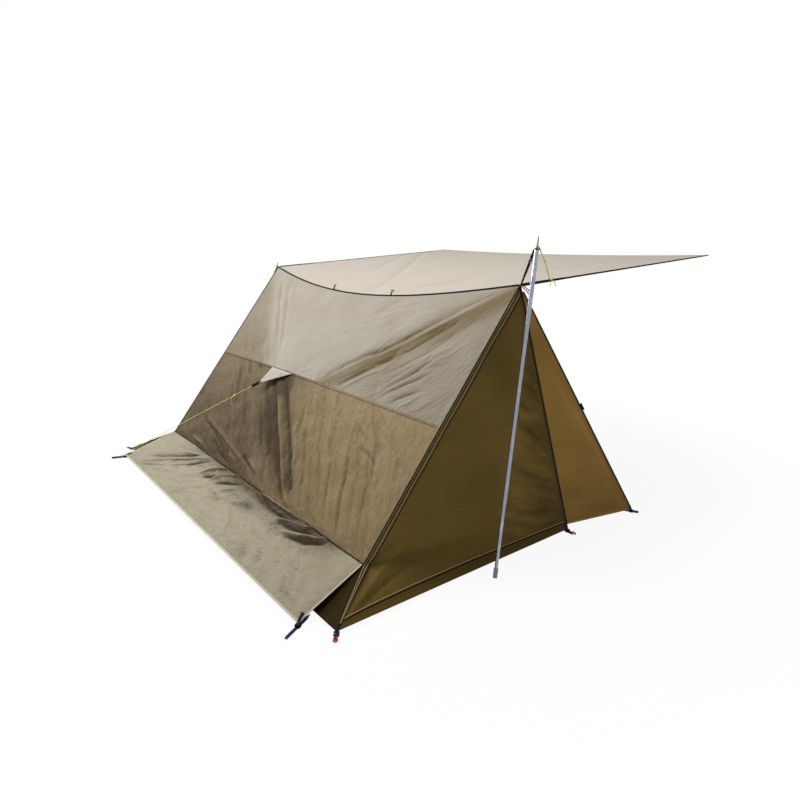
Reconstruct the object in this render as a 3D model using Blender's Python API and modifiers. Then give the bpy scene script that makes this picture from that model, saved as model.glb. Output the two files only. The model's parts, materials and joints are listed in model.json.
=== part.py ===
"""Lean-to tent with a ridge between two telescopic poles and an awning in front.

X runs along the ridge, +Y out under the awning and +Z up. The lengths below are
measured from the ground under the middle of the ridge. The last step moves the whole
tent along Y, which puts the origin in the middle of its ground plan.
"""
import math

import bmesh
import bpy
from mathutils import Matrix, Vector

# Driving dimensions, in metres.
RIDGE_LENGTH = 2.50
PEAK_HEIGHT = 1.323
RIDGE_SAG = 0.133
RIDGE_LEAN = 0.28

# Rear wall: two panels down to the storm flap's seam, then a band to the pegs.
WALL_SEAM_HEIGHT = 0.694
FLAP_SEAM_HEIGHT = 0.139
FLAP_SEAM_BACK = 0.923
BASE_BACK = 1.185

# Side walls and the wings that open from their front edges.
BASE_HALF = 1.42
FLAP_SEAM_HALF = BASE_HALF - 0.185
BASE_FRONT = 0.291
WING_LIFT = 0.045
GROUND_GAP = 0.0169
WING_HALF = BASE_HALF + 0.069
WING_FRONT = 0.795
WING_TOP_SHARE = 0.95
SIDE_TOP_SHARE = 0.985

# Storm flap, staked behind the rear wall.
FLAP_BACK = 1.28
FLAP_HALF = BASE_HALF - 0.142
FLAP_LIFT = 0.006

# Awning, from the ridge to its two front corners.
AWNING_REACH = 1.805
AWNING_HEIGHT = 1.443
AWNING_HALF = 1.264
AWNING_SAG = 0.02

# Cloth, tapes and cords.
CLOTH = 0.002
SEAM_GAP = 0.0006
MARGIN = 0.035
PIPING_RADIUS = 0.004
RIDGE_RADIUS = 0.0045
TAPE = 0.0015
TAPE_CLEARANCE = 0.0008
SEAM_TAPE_WIDTH = 0.014
STRAP_WIDTH = 0.02
CORD_RADIUS = 0.00125

# Tie-out on the rear wall, which a guy line pulls towards the flap's left peg.
TIEOUT_LEFT = -0.366
TIEOUT_RIGHT = -0.100
TIEOUT_PULL = 0.045
TIEOUT_LENGTH = 0.20
TIEOUT_LOOP = 0.05
KNOT_ALONG = 0.145
KNOT_LENGTH = 0.024
KNOT_RADIUS = 0.0048
KNOT_CLEARANCE = 0.0003
TAIL_LENGTH = 0.075
TAIL_STEPS = 4

# Poles: upper and middle tubes plugged together, lower tube sliding in the middle one.
POLE_FOOT_X = 1.509
POLE_FOOT_Y = -0.369
RIGHT_PIVOT = (1.3136, 0.031, 1.4915)
LEFT_PIVOT = (-1.278, 0.0, 1.328)
UPPER_RADIUS = 0.0105
MIDDLE_RADIUS = 0.0095
LOWER_RADIUS = 0.008
TUBE_WALL = 0.0007
SLIDE_CLEARANCE = 0.0004
UPPER_LENGTH = 0.432
MIDDLE_SHOWN = 0.77
PLUG_LENGTH = 0.08
LOWER_LENGTH = 0.42
FOOT_LENGTH = 0.045
FOOT_WALL = 0.0022
FOOT_FLOOR = 0.016
SPIKE_LENGTH = 0.07
SPIKE_RADIUS = 0.0048
SPIKE_TIP_RADIUS = 0.0022
SPIKE_PLUG = 0.03
WIND_HEIGHT = 0.018
WIND_PITCH = 0.0032
WIND_STEPS = 12
WIND_CLEARANCE = 0.0003
GROMMET_RADIUS = 0.014
GROMMET_THICKNESS = 0.0025
GROMMET_CLEARANCE = 0.0005
LEFT_TIP_SHOWN = 0.03

# Pegs lie in the corner loops, their heads outward, the flap's further than the others.
PEG_LENGTH = 0.18
PEG_SHOWN = 0.04
FLAP_PEG_SHOWN = 0.09
PEG_FIN = 0.008
PEG_WALL = 0.0016
PEG_POINT = 0.03
LOOP_HALF_WIDTH = 0.012
LOOP_HEIGHT = 0.0164
LOOP_WALL = 0.0015
LOOP_DEPTH = 0.016
LOOP_CORNER = 0.004
PEG_CLEARANCE = 0.0003
PULL_RADIUS = 0.0012

# Toggles on the ridge that hold the awning when it is rolled.
TOGGLE_SPACING = 0.66
TOGGLE_MIDDLE = -0.115
TOGGLE_LENGTH = 0.026
TOGGLE_BAR = 0.009
TOGGLE_STEM = 0.005
TOGGLE_REACH = 0.026
TOGGLE_LEAN = 65.0

PEAK_RIGHT = Vector((RIDGE_LENGTH / 2, 0, PEAK_HEIGHT))
WALL_OUT = Vector((0, FLAP_SEAM_HEIGHT - PEAK_HEIGHT, FLAP_SEAM_BACK)).normalized()
UP = Vector((0, 0, 1))
ORIGIN_FORWARD = (AWNING_REACH - FLAP_BACK - FLAP_PEG_SHOWN) / 2

COLOURS = {
    "canvas_light": ("A79C86", 0.62, 0.0),
    "canvas_dark": ("6F5F3E", 0.65, 0.0),
    "tape_black": ("1E2026", 0.7, 0.0),
    "alloy_grey": ("8A8F9A", 0.35, 1.0),
    "peg_blue": ("2F3850", 0.4, 0.9),
    "spike_steel": ("47535C", 0.35, 1.0),
    "plastic_dark": ("2A2C30", 0.5, 0.0),
    "cord_yellow": ("C9CF7A", 0.7, 0.0),
    "cord_red": ("C8253A", 0.7, 0.0),
}


def linear(channel):
    """One sRGB channel, 0 to 1, as scene-linear."""
    if channel <= 0.04045:
        return channel / 12.92
    return ((channel + 0.055) / 1.055) ** 2.4


def make_material(name):
    """Principled material with the colour, roughness and metallic value of one finish."""
    hex_colour, roughness, metallic = COLOURS[name]
    material = bpy.data.materials.get(name) or bpy.data.materials.new(name)
    material.use_nodes = True
    shader = material.node_tree.nodes["Principled BSDF"]
    rgb = [linear(int(hex_colour[i:i + 2], 16) / 255) for i in (0, 2, 4)]
    shader.inputs["Base Color"].default_value = (*rgb, 1)
    shader.inputs["Roughness"].default_value = roughness
    shader.inputs["Metallic"].default_value = metallic
    return material


def add_object(name, data, finish):
    """Puts a mesh or curve in the tent's collection, in one finish."""
    obj = bpy.data.objects.new(name, data)
    data.materials.append(make_material(finish))
    bpy.data.collections["tent"].objects.link(obj)
    return obj


def mesh_from(name, bm):
    mesh = bpy.data.meshes.new(name)
    bm.to_mesh(mesh)
    bm.free()
    return mesh


def smoothstep(value):
    t = min(1.0, max(0.0, value))
    return t * t * (3 - 2 * t)


def normal_of(place, u, v):
    """Unit normal of a surface at (u, v), from small steps along it."""
    step = 0.01
    u0, v0 = min(u, 1 - step), min(v, 1 - step)
    here = place(u0, v0)
    return (place(u0 + step, v0) - here).cross(place(u0, v0 + step) - here).normalized()


def spread(share, count):
    """Moves the grid's inner lines out, so that the first one is a margin from the edge."""
    if share < 0.5 / count:
        return 0.0
    if share > 1 - 0.5 / count:
        return 1.0
    return MARGIN + (share - 1 / count) / (1 - 2 / count) * (1 - 2 * MARGIN)


def sheet(name, place, columns, rows, finish, thickness=CLOTH, folds=None):
    """Cloth along place(u, v), u and v from 0 to 1, lifted by folds(u, v) along its normal."""
    bm = bmesh.new()
    bmesh.ops.create_grid(bm, x_segments=columns, y_segments=rows, size=0.5)
    for vert in bm.verts:
        u, v = vert.co.x + 0.5, vert.co.y + 0.5
        if folds:
            u, v = spread(u, columns), spread(v, rows)
            vert.co = place(u, v) + normal_of(place, u, v) * folds(u, v)
        else:
            vert.co = place(u, v)
    obj = add_object(name, mesh_from(name, bm), finish)
    obj.data.shade_smooth()
    solidify = obj.modifiers.new("thickness", "SOLIDIFY")
    solidify.thickness = thickness
    solidify.offset = 0
    return obj


def tube(name, points, radius, finish, resolution=1):
    """Round cord or piping through the points, with filled caps."""
    curve = bpy.data.curves.new(name, "CURVE")
    curve.dimensions = "3D"
    curve.bevel_depth = radius
    curve.bevel_resolution = resolution
    curve.use_fill_caps = True
    spline = curve.splines.new("POLY")
    spline.points.add(len(points) - 1)
    for spline_point, point in zip(spline.points, points):
        spline_point.co = (*point, 1)
    return add_object(name, curve, finish)


def turned(name, profile, finish, steps=16):
    """A profile of (radius, height) points turned round Z.

    A profile with both ends on the axis is a solid. Any other is closed on itself.
    """
    mesh = bpy.data.meshes.new(name)
    points = [(radius, 0, height) for radius, height in profile]
    edges = [(i, i + 1) for i in range(len(points) - 1)]
    if profile[0][0] > 0:
        edges.append((len(points) - 1, 0))
    mesh.from_pydata(points, edges, [])
    obj = add_object(name, mesh, finish)
    screw = obj.modifiers.new("turn", "SCREW")
    screw.steps = screw.render_steps = steps
    screw.use_merge_vertices = True
    screw.merge_threshold = 0.00005
    screw.use_smooth_shade = True
    return obj


def aim(obj, origin, direction, ahead=None):
    """Puts an object at origin with its Z along direction, and its X near ahead."""
    z = Vector(direction).normalized()
    x = Vector(ahead) if ahead else Vector((0, 1, 0)).cross(z)
    x = (x - z * x.dot(z)).normalized()
    y = z.cross(x)
    turn = Matrix((x, y, z)).transposed().to_4x4()
    obj.matrix_world = Matrix.Translation(origin) @ turn
    return obj


def extruded(name, outlines, depth, finish):
    """Flat outlines, the second one a hole in the first, extruded by depth about Z = 0."""
    curve = bpy.data.curves.new(name, "CURVE")
    curve.dimensions = "2D"
    curve.fill_mode = "BOTH"
    curve.extrude = depth / 2
    for points in outlines:
        spline = curve.splines.new("POLY")
        spline.points.add(len(points) - 1)
        for spline_point, (x, y) in zip(spline.points, points):
            spline_point.co = (x, y, 0, 1)
        spline.use_cyclic_u = True
    return add_object(name, curve, finish)


def mirror(point, side):
    return Vector((point[0] * side, point[1], point[2]))


def ridge_point(across):
    """Point on the ridge, across from -1 at the left peak to 1 at the right one.

    It sags lowest a little left of the middle, where the tie-out pulls the wall.
    """
    sag = RIDGE_SAG * (1 - across ** 2) * (1 - RIDGE_LEAN * across)
    return Vector((across * RIDGE_LENGTH / 2, 0, PEAK_HEIGHT - sag))


FLAP_SEAM_CORNER = Vector((FLAP_SEAM_HALF, -FLAP_SEAM_BACK, FLAP_SEAM_HEIGHT))
REAR_CORNER = Vector((BASE_HALF, -BASE_BACK, GROUND_GAP + CLOTH / 2))
FRONT_CORNER = Vector((BASE_HALF, BASE_FRONT, GROUND_GAP))
WING_CORNER = Vector((WING_HALF, WING_FRONT, GROUND_GAP + PIPING_RADIUS / 2))


def on_line(start, end, height):
    """Point at a height on the line from start up to end."""
    return start.lerp(end, (height - start.z) / (end.z - start.z))


def rear_edge(height):
    """Right rear corner line: from the peg to the flap's seam, then to the peak."""
    if height < FLAP_SEAM_HEIGHT:
        return on_line(REAR_CORNER, FLAP_SEAM_CORNER, height)
    return on_line(FLAP_SEAM_CORNER, PEAK_RIGHT, height)


def front_edge(height):
    """Right side wall's front edge, which the wing turns on."""
    return on_line(FRONT_CORNER, PEAK_RIGHT, height)


def rear_row(corner, across, inset=CLOTH / 2 + SEAM_GAP):
    """Point of a level row of the rear wall that ends at the corner lines."""
    return Vector((across * (corner.x - inset), corner.y, corner.z))


def pulled(point, above):
    """Moves a point of the rear wall out, as the tie-out on its seam pulls the cloth.

    above is how far the point is from the seam, 0 to 1: up to the ridge where it is
    positive, down to the flap's seam where it is negative. The pulled strip widens
    to the whole ridge above the seam and keeps its width below.
    """
    edge = rear_edge(point.z).x
    left, right = TIEOUT_LEFT, TIEOUT_RIGHT
    if above > 0:
        left += (-edge - left) * above
        right += (edge - right) * above
    if point.x < left:
        share = (point.x + edge) / max(left + edge, 0.01)
    elif point.x > right:
        share = (edge - point.x) / max(edge - right, 0.01)
    else:
        share = 1
    return point + WALL_OUT * TIEOUT_PULL * (1 - abs(above)) * min(1, max(0, share))


def creases(u, v, list_of_creases, height):
    """Sum of soft creases: (place in u, lean, width, share of the height)."""
    total = 0.0
    for place, lean, width, share in list_of_creases:
        offset = (u - place - lean * (v - 0.5)) / width
        total += share * math.exp(-offset * offset)
    return total * height


def edge_fade(u, v, side=0.05, bottom=0.12, top=0.12):
    """1 inside a panel, falling to 0 at the margin along each edge."""
    across = smoothstep((min(u, 1 - u) - MARGIN) / side)
    along = min(smoothstep((v - MARGIN) / bottom), smoothstep((1 - MARGIN - v) / top))
    return across * along


def make_rear_wall():
    """Upper and lower panel, the tape over the seam between them and the ground band."""
    seam_corner = rear_edge(WALL_SEAM_HEIGHT)
    up_wall = (PEAK_RIGHT - FLAP_SEAM_CORNER)
    up_wall = Vector((0, up_wall.y, up_wall.z)).normalized()
    half_gap = SEAM_GAP / 2

    def upper(u, v):
        across = 2 * u - 1
        low = rear_row(seam_corner, across) + up_wall * half_gap
        high = ridge_point(across)
        high.x -= across * (CLOTH / 2 + SEAM_GAP)
        high += (low - high).normalized() * (RIDGE_RADIUS + SEAM_GAP)
        return pulled(low.lerp(high, v), v)

    def upper_folds(u, v):
        fan = creases(u, v, [(0.86, 0.55, 0.030, 1.0), (0.74, 0.42, 0.035, -0.8),
                             (0.62, 0.62, 0.045, 0.7), (0.17, 0.05, 0.020, -0.5)], 0.012)
        return fan * edge_fade(u, v)

    def lower(u, v):
        across = 2 * u - 1
        low = rear_row(FLAP_SEAM_CORNER, across) + up_wall * half_gap
        high = rear_row(seam_corner, across) - up_wall * half_gap
        return pulled(low.lerp(high, v), v - 1)

    def lower_folds(u, v):
        hanging = [(0.10, 0.02, 0.012, 0.4), (0.17, 0.01, 0.012, -0.5), (0.24, 0.0, 0.014, 0.6),
                   (0.33, 0.0, 0.016, -1.0), (0.38, 0.02, 0.014, 1.0), (0.46, 0.02, 0.018, -0.7),
                   (0.55, 0.03, 0.018, 0.6), (0.64, 0.05, 0.018, -0.6), (0.74, 0.07, 0.022, 0.6),
                   (0.84, 0.10, 0.022, -0.5)]
        return creases(u, v, hanging, 0.013) * edge_fade(u, v)

    def seam_tape(u, v):
        base = rear_row(seam_corner, 2 * u - 1)
        lift = CLOTH / 2 + TAPE_CLEARANCE + TAPE / 2
        step = (v - 0.5) * SEAM_TAPE_WIDTH
        return pulled(base + up_wall * step, step / 0.7) + WALL_OUT * lift

    def ground_band(u, v):
        low = rear_row(REAR_CORNER, 2 * u - 1)
        high = rear_row(FLAP_SEAM_CORNER, 2 * u - 1) - up_wall * half_gap
        return low.lerp(high - (high - low).normalized() * SEAM_GAP, v)

    sheet("rear_upper_panel", upper, 72, 6, "canvas_light", folds=upper_folds)
    sheet("rear_lower_panel", lower, 72, 6, "canvas_light", folds=lower_folds)
    sheet("rear_seam_tape", seam_tape, 72, 2, "canvas_light", TAPE)
    sheet("rear_ground_band", ground_band, 4, 2, "canvas_dark")
    return up_wall


def make_storm_flap(up_wall):
    """The flap starts on the lower panel, just above its seam, and is staked behind."""
    out = WALL_OUT * (CLOTH + 1.5 * SEAM_GAP)

    def flap(u, v):
        across = 2 * u - 1
        low = Vector((across * FLAP_HALF, -FLAP_BACK, GROUND_GAP + CLOTH / 2))
        high = rear_row(FLAP_SEAM_CORNER, across, 0) + up_wall * FLAP_LIFT + out
        return low.lerp(high, v)

    def flap_folds(u, v):
        heaps = creases(u, v, [(0.16, 0.22, 0.028, 0.8), (0.27, 0.20, 0.030, 1.0),
                               (0.60, 0.30, 0.040, 1.0), (0.76, 0.24, 0.034, 0.8)], 0.022)
        return heaps * smoothstep((v - 0.30) / 0.45) * edge_fade(u, v, top=0.10)

    sheet("storm_flap", flap, 36, 7, "canvas_light", folds=flap_folds)


def side_surface(side):
    """Mid-surface of a side wall: u from the rear corner line to the front edge, v up.

    The first of its inner rows lies on the bend in the rear corner line.
    """
    back_step = (PIPING_RADIUS + SEAM_GAP) / 0.976
    top = PEAK_HEIGHT * SIDE_TOP_SHARE

    def place(u, v):
        if v < MARGIN:
            rear = REAR_CORNER.lerp(FLAP_SEAM_CORNER, v / MARGIN)
            front = FRONT_CORNER.lerp(front_edge(FLAP_SEAM_HEIGHT), v / MARGIN)
        else:
            height = FLAP_SEAM_HEIGHT + (v - MARGIN) / (1 - MARGIN) * (top - FLAP_SEAM_HEIGHT)
            rear, front = rear_edge(height), front_edge(height)
        return mirror(rear.lerp(front - Vector((0, back_step, 0)), u), side)

    return place


def make_side(side, name):
    """Side wall and the piping down its front edge."""
    def side_folds(u, v):
        pull = creases(u, v, [(0.22, -0.10, 0.05, 1.0), (0.75, 0.12, 0.06, -0.8)], 0.008)
        return pull * edge_fade(u, v, 0.10, 0.20, 0.30)

    sheet(f"side_wall_{name}", side_surface(side), 8, 8, "canvas_dark", folds=side_folds)
    low = front_edge(GROUND_GAP + PIPING_RADIUS)
    high = front_edge(PEAK_HEIGHT * SIDE_TOP_SHARE)
    tube(f"side_piping_{name}", [mirror(low, side), mirror(high, side)], PIPING_RADIUS,
         "tape_black")


def make_wing(side, name):
    """Wing that turns on the side wall's front piping, its edge piping and tie-back tab."""
    hinge = (PEAK_RIGHT - FRONT_CORNER).normalized()
    across = WING_CORNER - FRONT_CORNER
    across = (across - hinge * across.dot(hinge)).normalized()
    clear = PIPING_RADIUS + SEAM_GAP
    edge = (PEAK_RIGHT - WING_CORNER).normalized()

    def outer_edge(v):
        return WING_CORNER.lerp(PEAK_RIGHT, v)

    def wing(u, v):
        share = v * WING_TOP_SHARE
        start = front_edge(WING_LIFT).lerp(PEAK_RIGHT, share) + across * clear
        end = outer_edge(share)
        row = (end - start).normalized()
        end = end - row * clear / row.cross(edge).length
        return mirror(start.lerp(end, u), side)

    def wing_folds(u, v):
        return creases(v, u, [(0.10, 0.08, 0.05, 1.0), (0.24, 0.10, 0.05, -0.8)],
                       0.006) * edge_fade(u, v, 0.15, 0.05, 0.30)

    sheet(f"wing_{name}", wing, 6, 10, "canvas_dark", folds=wing_folds)
    ends = [mirror(outer_edge(share), side) for share in (0, WING_TOP_SHARE)]
    tube(f"wing_piping_{name}", ends, PIPING_RADIUS, "tape_black")

    tab_length, tab_width, tab_at = 0.05, 0.018, 0.50
    outward = (across - edge * across.dot(edge)).normalized()

    def tab(u, v):
        base = outer_edge(tab_at) + outward * (PIPING_RADIUS + SEAM_GAP + u * tab_width)
        return mirror(base + edge * (v - 0.5) * tab_length, side)

    sheet(f"wing_tab_{name}", tab, 1, 1, "tape_black", TAPE)


def awning_point(across, out, inset=PIPING_RADIUS + SEAM_GAP):
    """Point of the awning: across -1 to 1, out from the ridge 0 to the front edge 1."""
    low = ridge_point(across) + Vector((0, RIDGE_RADIUS + SEAM_GAP, 0))
    high = Vector((across * AWNING_HALF, AWNING_REACH, AWNING_HEIGHT - AWNING_SAG * (1 - across ** 2)))
    point = low.lerp(high, out)
    point.x -= across * inset
    return point


def make_awning():
    """Awning cloth and the piping down its sides."""
    def cloth(u, v):
        return awning_point(2 * u - 1, v)

    def awning_folds(u, v):
        return creases(u, v, [(0.30, 0.35, 0.05, 0.7), (0.52, 0.15, 0.06, -0.6),
                              (0.80, -0.30, 0.05, 0.8)], 0.012) * edge_fade(u, v)

    sheet("awning", cloth, 22, 10, "canvas_light", folds=awning_folds)
    for side, name in ((1, "right"), (-1, "left")):
        ends = [awning_point(side, out, 0) for out in (0.004, 0.996)]
        tube(f"awning_piping_{name}", ends, PIPING_RADIUS, "tape_black")


def make_ridge():
    """Piping that joins the rear wall to the awning, and the two toggles on it."""
    reach = 1 - (CLOTH + RIDGE_RADIUS) / (RIDGE_LENGTH / 2)
    steps = 24
    points = [ridge_point(reach * (2 * i / steps - 1)) for i in range(steps + 1)]
    tube("ridge_piping", points, RIDGE_RADIUS, "tape_black")

    lean = math.radians(TOGGLE_LEAN)
    outward = Vector((0, math.cos(lean), math.sin(lean)))
    half, stem = TOGGLE_LENGTH / 2, TOGGLE_STEM / 2
    outline = [(-stem, 0), (stem, 0), (stem, TOGGLE_REACH), (half - 0.002, TOGGLE_REACH),
               (half, TOGGLE_REACH + 0.002), (half, TOGGLE_REACH + TOGGLE_BAR - 0.002),
               (half - 0.002, TOGGLE_REACH + TOGGLE_BAR)]
    outline += [(-x, y) for x, y in reversed(outline[2:])]
    for number, side in ((1, -1), (2, 1)):
        base = ridge_point((TOGGLE_MIDDLE + side * TOGGLE_SPACING / 2) / (RIDGE_LENGTH / 2))
        toggle = extruded(f"toggle_{number}", (outline,), TOGGLE_BAR, "plastic_dark")
        aim(toggle, base + outward * (RIDGE_RADIUS + SEAM_GAP), Vector((1, 0, 0)).cross(outward),
            (1, 0, 0))
        bevel = toggle.modifiers.new("rounded", "BEVEL")
        bevel.width = 0.0009
        bevel.segments = 2


def make_pole(side, name, pivot, tip_above):
    """Telescopic pole from its foot to the grommet that its spike passes through.

    Its tubes are as long on both sides. Their overlap sets how long the pole is.
    """
    foot = Vector((side * POLE_FOOT_X, POLE_FOOT_Y, 0))
    top = Vector(pivot)
    axis = (top - foot).normalized()
    tip = (top - foot).length + tip_above
    # The rubber foot's lower rim just clears the ground.
    base = foot + axis * (LOWER_RADIUS + FOOT_WALL) * math.sqrt(1 - axis.z ** 2) / axis.z

    shoulder = tip - SPIKE_LENGTH
    start = (base - foot).length
    upper_low = shoulder - UPPER_LENGTH
    middle_low = upper_low - MIDDLE_SHOWN
    bore = UPPER_RADIUS - TUBE_WALL

    def hollow(radius, wall, low, high):
        return [(radius, high), (radius, low), (radius - wall, low), (radius - wall, high)]

    socket = LOWER_RADIUS + SLIDE_CLEARANCE
    foot_outer = socket + FOOT_WALL
    pieces = {
        "foot": ([(foot_outer, start + FOOT_LENGTH), (foot_outer * 0.97, start),
                  (foot_outer * 0.6, start), (foot_outer * 0.6, start + FOOT_FLOOR),
                  (socket, start + FOOT_FLOOR), (socket, start + FOOT_LENGTH)], "plastic_dark"),
        "lower_tube": (hollow(LOWER_RADIUS, TUBE_WALL, start + FOOT_FLOOR + 0.0003,
                              start + FOOT_FLOOR + LOWER_LENGTH), "alloy_grey"),
        "middle_tube": (hollow(MIDDLE_RADIUS, MIDDLE_RADIUS - LOWER_RADIUS - SLIDE_CLEARANCE,
                               middle_low, upper_low + PLUG_LENGTH), "alloy_grey"),
        "upper_tube": (hollow(UPPER_RADIUS, TUBE_WALL, upper_low, shoulder), "alloy_grey"),
        "spike": ([(0, tip), (SPIKE_TIP_RADIUS, tip - 0.003), (SPIKE_RADIUS, shoulder + 0.02),
                   (SPIKE_RADIUS, shoulder + 0.0035), (UPPER_RADIUS, shoulder + 0.0003),
                   (bore - 0.0003, shoulder + 0.0003), (bore - 0.0003, shoulder - SPIKE_PLUG),
                   (0, shoulder - SPIKE_PLUG)], "spike_steel"),
    }
    for piece, (profile, finish) in pieces.items():
        aim(turned(f"pole_{name}_{piece}", profile, finish), foot, axis)

    # The grommet's hole follows the spike, which tapers where the left one sits.
    along = (top - foot).length
    taper = (tip - 0.003 - along) / (tip - 0.003 - shoulder - 0.02)
    at_grommet = SPIKE_TIP_RADIUS + (SPIKE_RADIUS - SPIKE_TIP_RADIUS) * min(1, taper + 0.03)
    hole = at_grommet + GROMMET_CLEARANCE
    half = GROMMET_THICKNESS / 2
    disc = hollow(GROMMET_RADIUS, GROMMET_RADIUS - hole, along - half, along + half)
    aim(turned(f"pole_{name}_grommet", disc, "tape_black", 20), foot, axis)


def make_strap(side, name, pivot):
    """Webbing sewn to the top of a side wall, up to the grommet on the pole."""
    place = side_surface(side)
    out = normal_of(place, 0.5, 0.9)
    if out.x * side < 0:
        out.negate()
    lift = out * (CLOTH / 2 + SEAM_GAP + TAPE / 2)
    top = Vector(pivot)
    low, high = place(0.42, 0.90) + lift, place(0.46, 0.97) + lift
    axis = (top - Vector((side * POLE_FOOT_X, POLE_FOOT_Y, 0))).normalized()
    away = high - top
    away = (away - axis * away.dot(axis)).normalized()
    end = top + away * (GROMMET_RADIUS + TAPE / 2 + SEAM_GAP)
    sewn = (place(1, 0.9) - place(0, 0.9)).normalized()
    hung = away.cross(axis) * side

    def strap(u, v):
        route = low.lerp(high, v * 3) if v < 1 / 3 else high.lerp(end, (v - 1 / 3) * 1.5)
        across = sewn.lerp(hung, smoothstep((v - 1 / 3) * 1.5)).normalized()
        return route + across * (u - 0.5) * STRAP_WIDTH * (1 - 0.3 * v)

    sheet(f"peak_strap_{name}", strap, 1, 6, "tape_black", TAPE)


def peg_outline():
    """Y section of a peg: three fins at 120 degrees, the first one up."""
    points = []
    root = PEG_WALL / 2 / math.sin(math.radians(60))
    for turn in (90, 210, 330):
        angle = math.radians(turn)
        along = Vector((math.cos(angle), math.sin(angle)))
        beside = Vector((-along.y, along.x)) * PEG_WALL / 2
        notch = angle - math.radians(60)
        points.append((root * math.cos(notch), root * math.sin(notch)))
        points.append(tuple(along * PEG_FIN - beside))
        points.append(tuple(along * PEG_FIN + beside))
    return points


def make_peg(name, corner, outward, shown):
    """Peg lying through a corner loop: a Y section whose last stretch narrows to a point."""
    outline = peg_outline()
    bm = bmesh.new()
    ring = [bm.verts.new((x, y, 0)) for x, y in outline]
    face = bm.faces.new(ring)
    for length, scale in ((PEG_LENGTH - PEG_POINT, 1.0), (PEG_POINT, 0.2)):
        grown = bmesh.ops.extrude_face_region(bm, geom=[face])["geom"]
        face = next(item for item in grown if isinstance(item, bmesh.types.BMFace))
        bmesh.ops.translate(bm, verts=face.verts, vec=(0, 0, length))
        for vert in face.verts:
            vert.co.x *= scale
            vert.co.y *= scale
    bmesh.ops.delete(bm, geom=[f for f in bm.faces if len(f.verts) > 4 and f is not face
                               and f.calc_center_median().z > 0.001], context="FACES_ONLY")
    bmesh.ops.recalc_face_normals(bm, faces=bm.faces)
    peg = add_object(name, mesh_from(name, bm), "peg_blue")
    lowest = PEG_FIN / 2 + PEG_WALL / 2 * math.cos(math.radians(30))
    out = Vector((*outward, 0)).normalized()
    head = Vector((corner.x, corner.y, 0)) + out * shown
    head.z = LOOP_WALL + PEG_CLEARANCE + lowest
    turn = Matrix((UP.cross(-out), UP, -out)).transposed().to_4x4()
    peg.matrix_world = Matrix.Translation(head) @ turn
    return peg


def rounded_box(half_width, low, high, radius):
    """Outline of a box with rounded corners, three points to a corner."""
    points = []
    for x, y, start in ((1, 1, 0), (-1, 1, 90), (-1, -1, 180), (1, -1, 270)):
        centre_y = high - radius if y > 0 else low + radius
        for step in range(3):
            angle = math.radians(start + 45 * step)
            points.append((x * (half_width - radius) + radius * math.cos(angle),
                           centre_y + radius * math.sin(angle)))
    return points


def make_loop(name, corner, outward):
    """Webbing loop under a corner of the cloth, which the peg passes through."""
    outer = rounded_box(LOOP_HALF_WIDTH, 0, LOOP_HEIGHT, LOOP_CORNER)
    inner = rounded_box(LOOP_HALF_WIDTH - LOOP_WALL, LOOP_WALL, LOOP_HEIGHT - LOOP_WALL,
                        LOOP_CORNER - LOOP_WALL)
    loop = extruded(name, (outer, inner), LOOP_DEPTH, "tape_black")
    out = Vector((*outward, 0)).normalized()
    turn = Matrix((UP.cross(out), UP, out)).transposed().to_4x4()
    loop.matrix_world = Matrix.Translation((corner.x, corner.y, 0)) @ turn


def make_pull(name, peg):
    """Cord loop on a peg's head, which starts and ends at the two sides of its upper fin."""
    side = PEG_WALL / 2 + SEAM_GAP
    half = [(side, 0.005, 0.008), (0.004, 0.005, 0.006), (0.008, 0.0045, -0.004),
            (0.009, 0.004, -0.018), (0.006, 0.003, -0.028)]
    route = half + [(0, 0.0025, -0.031)] + [(-x, y, z) for x, y, z in reversed(half)]
    tube(name, [peg.matrix_world @ Vector(point) for point in route], PULL_RADIUS, "cord_red")


def make_pegs_and_loops():
    """A loop and a peg at each staked corner, with the peg's direction outward."""
    flap_corner = Vector((FLAP_HALF, -FLAP_BACK, 0))
    staked = {
        "rear_right": (REAR_CORNER, (0.79, -0.61)),
        "rear_left": (mirror(REAR_CORNER, -1), (-0.79, -0.61)),
        "flap_right": (flap_corner, (0.46, -0.89)),
        "flap_left": (mirror(flap_corner, -1), (-0.30, -0.95)),
        "front_right": (FRONT_CORNER, (0.99, -0.13)),
        "front_left": (mirror(FRONT_CORNER, -1), (-0.99, -0.13)),
        "wing_right": (WING_CORNER, (0.89, 0.46)),
        "wing_left": (mirror(WING_CORNER, -1), (-0.89, 0.46)),
    }
    for name, (corner, outward) in staked.items():
        make_loop(f"loop_{name}", corner, outward)
        shown = FLAP_PEG_SHOWN if name.startswith("flap") else PEG_SHOWN
        peg = make_peg(f"peg_{name}", corner, outward, shown)
        if name.startswith(("rear", "front")):
            make_pull(f"pull_{name}", peg)
    corner, outward = staked["flap_left"]
    return Vector((corner.x, corner.y, 0)) + Vector((*outward, 0)).normalized() * 0.03


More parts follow.
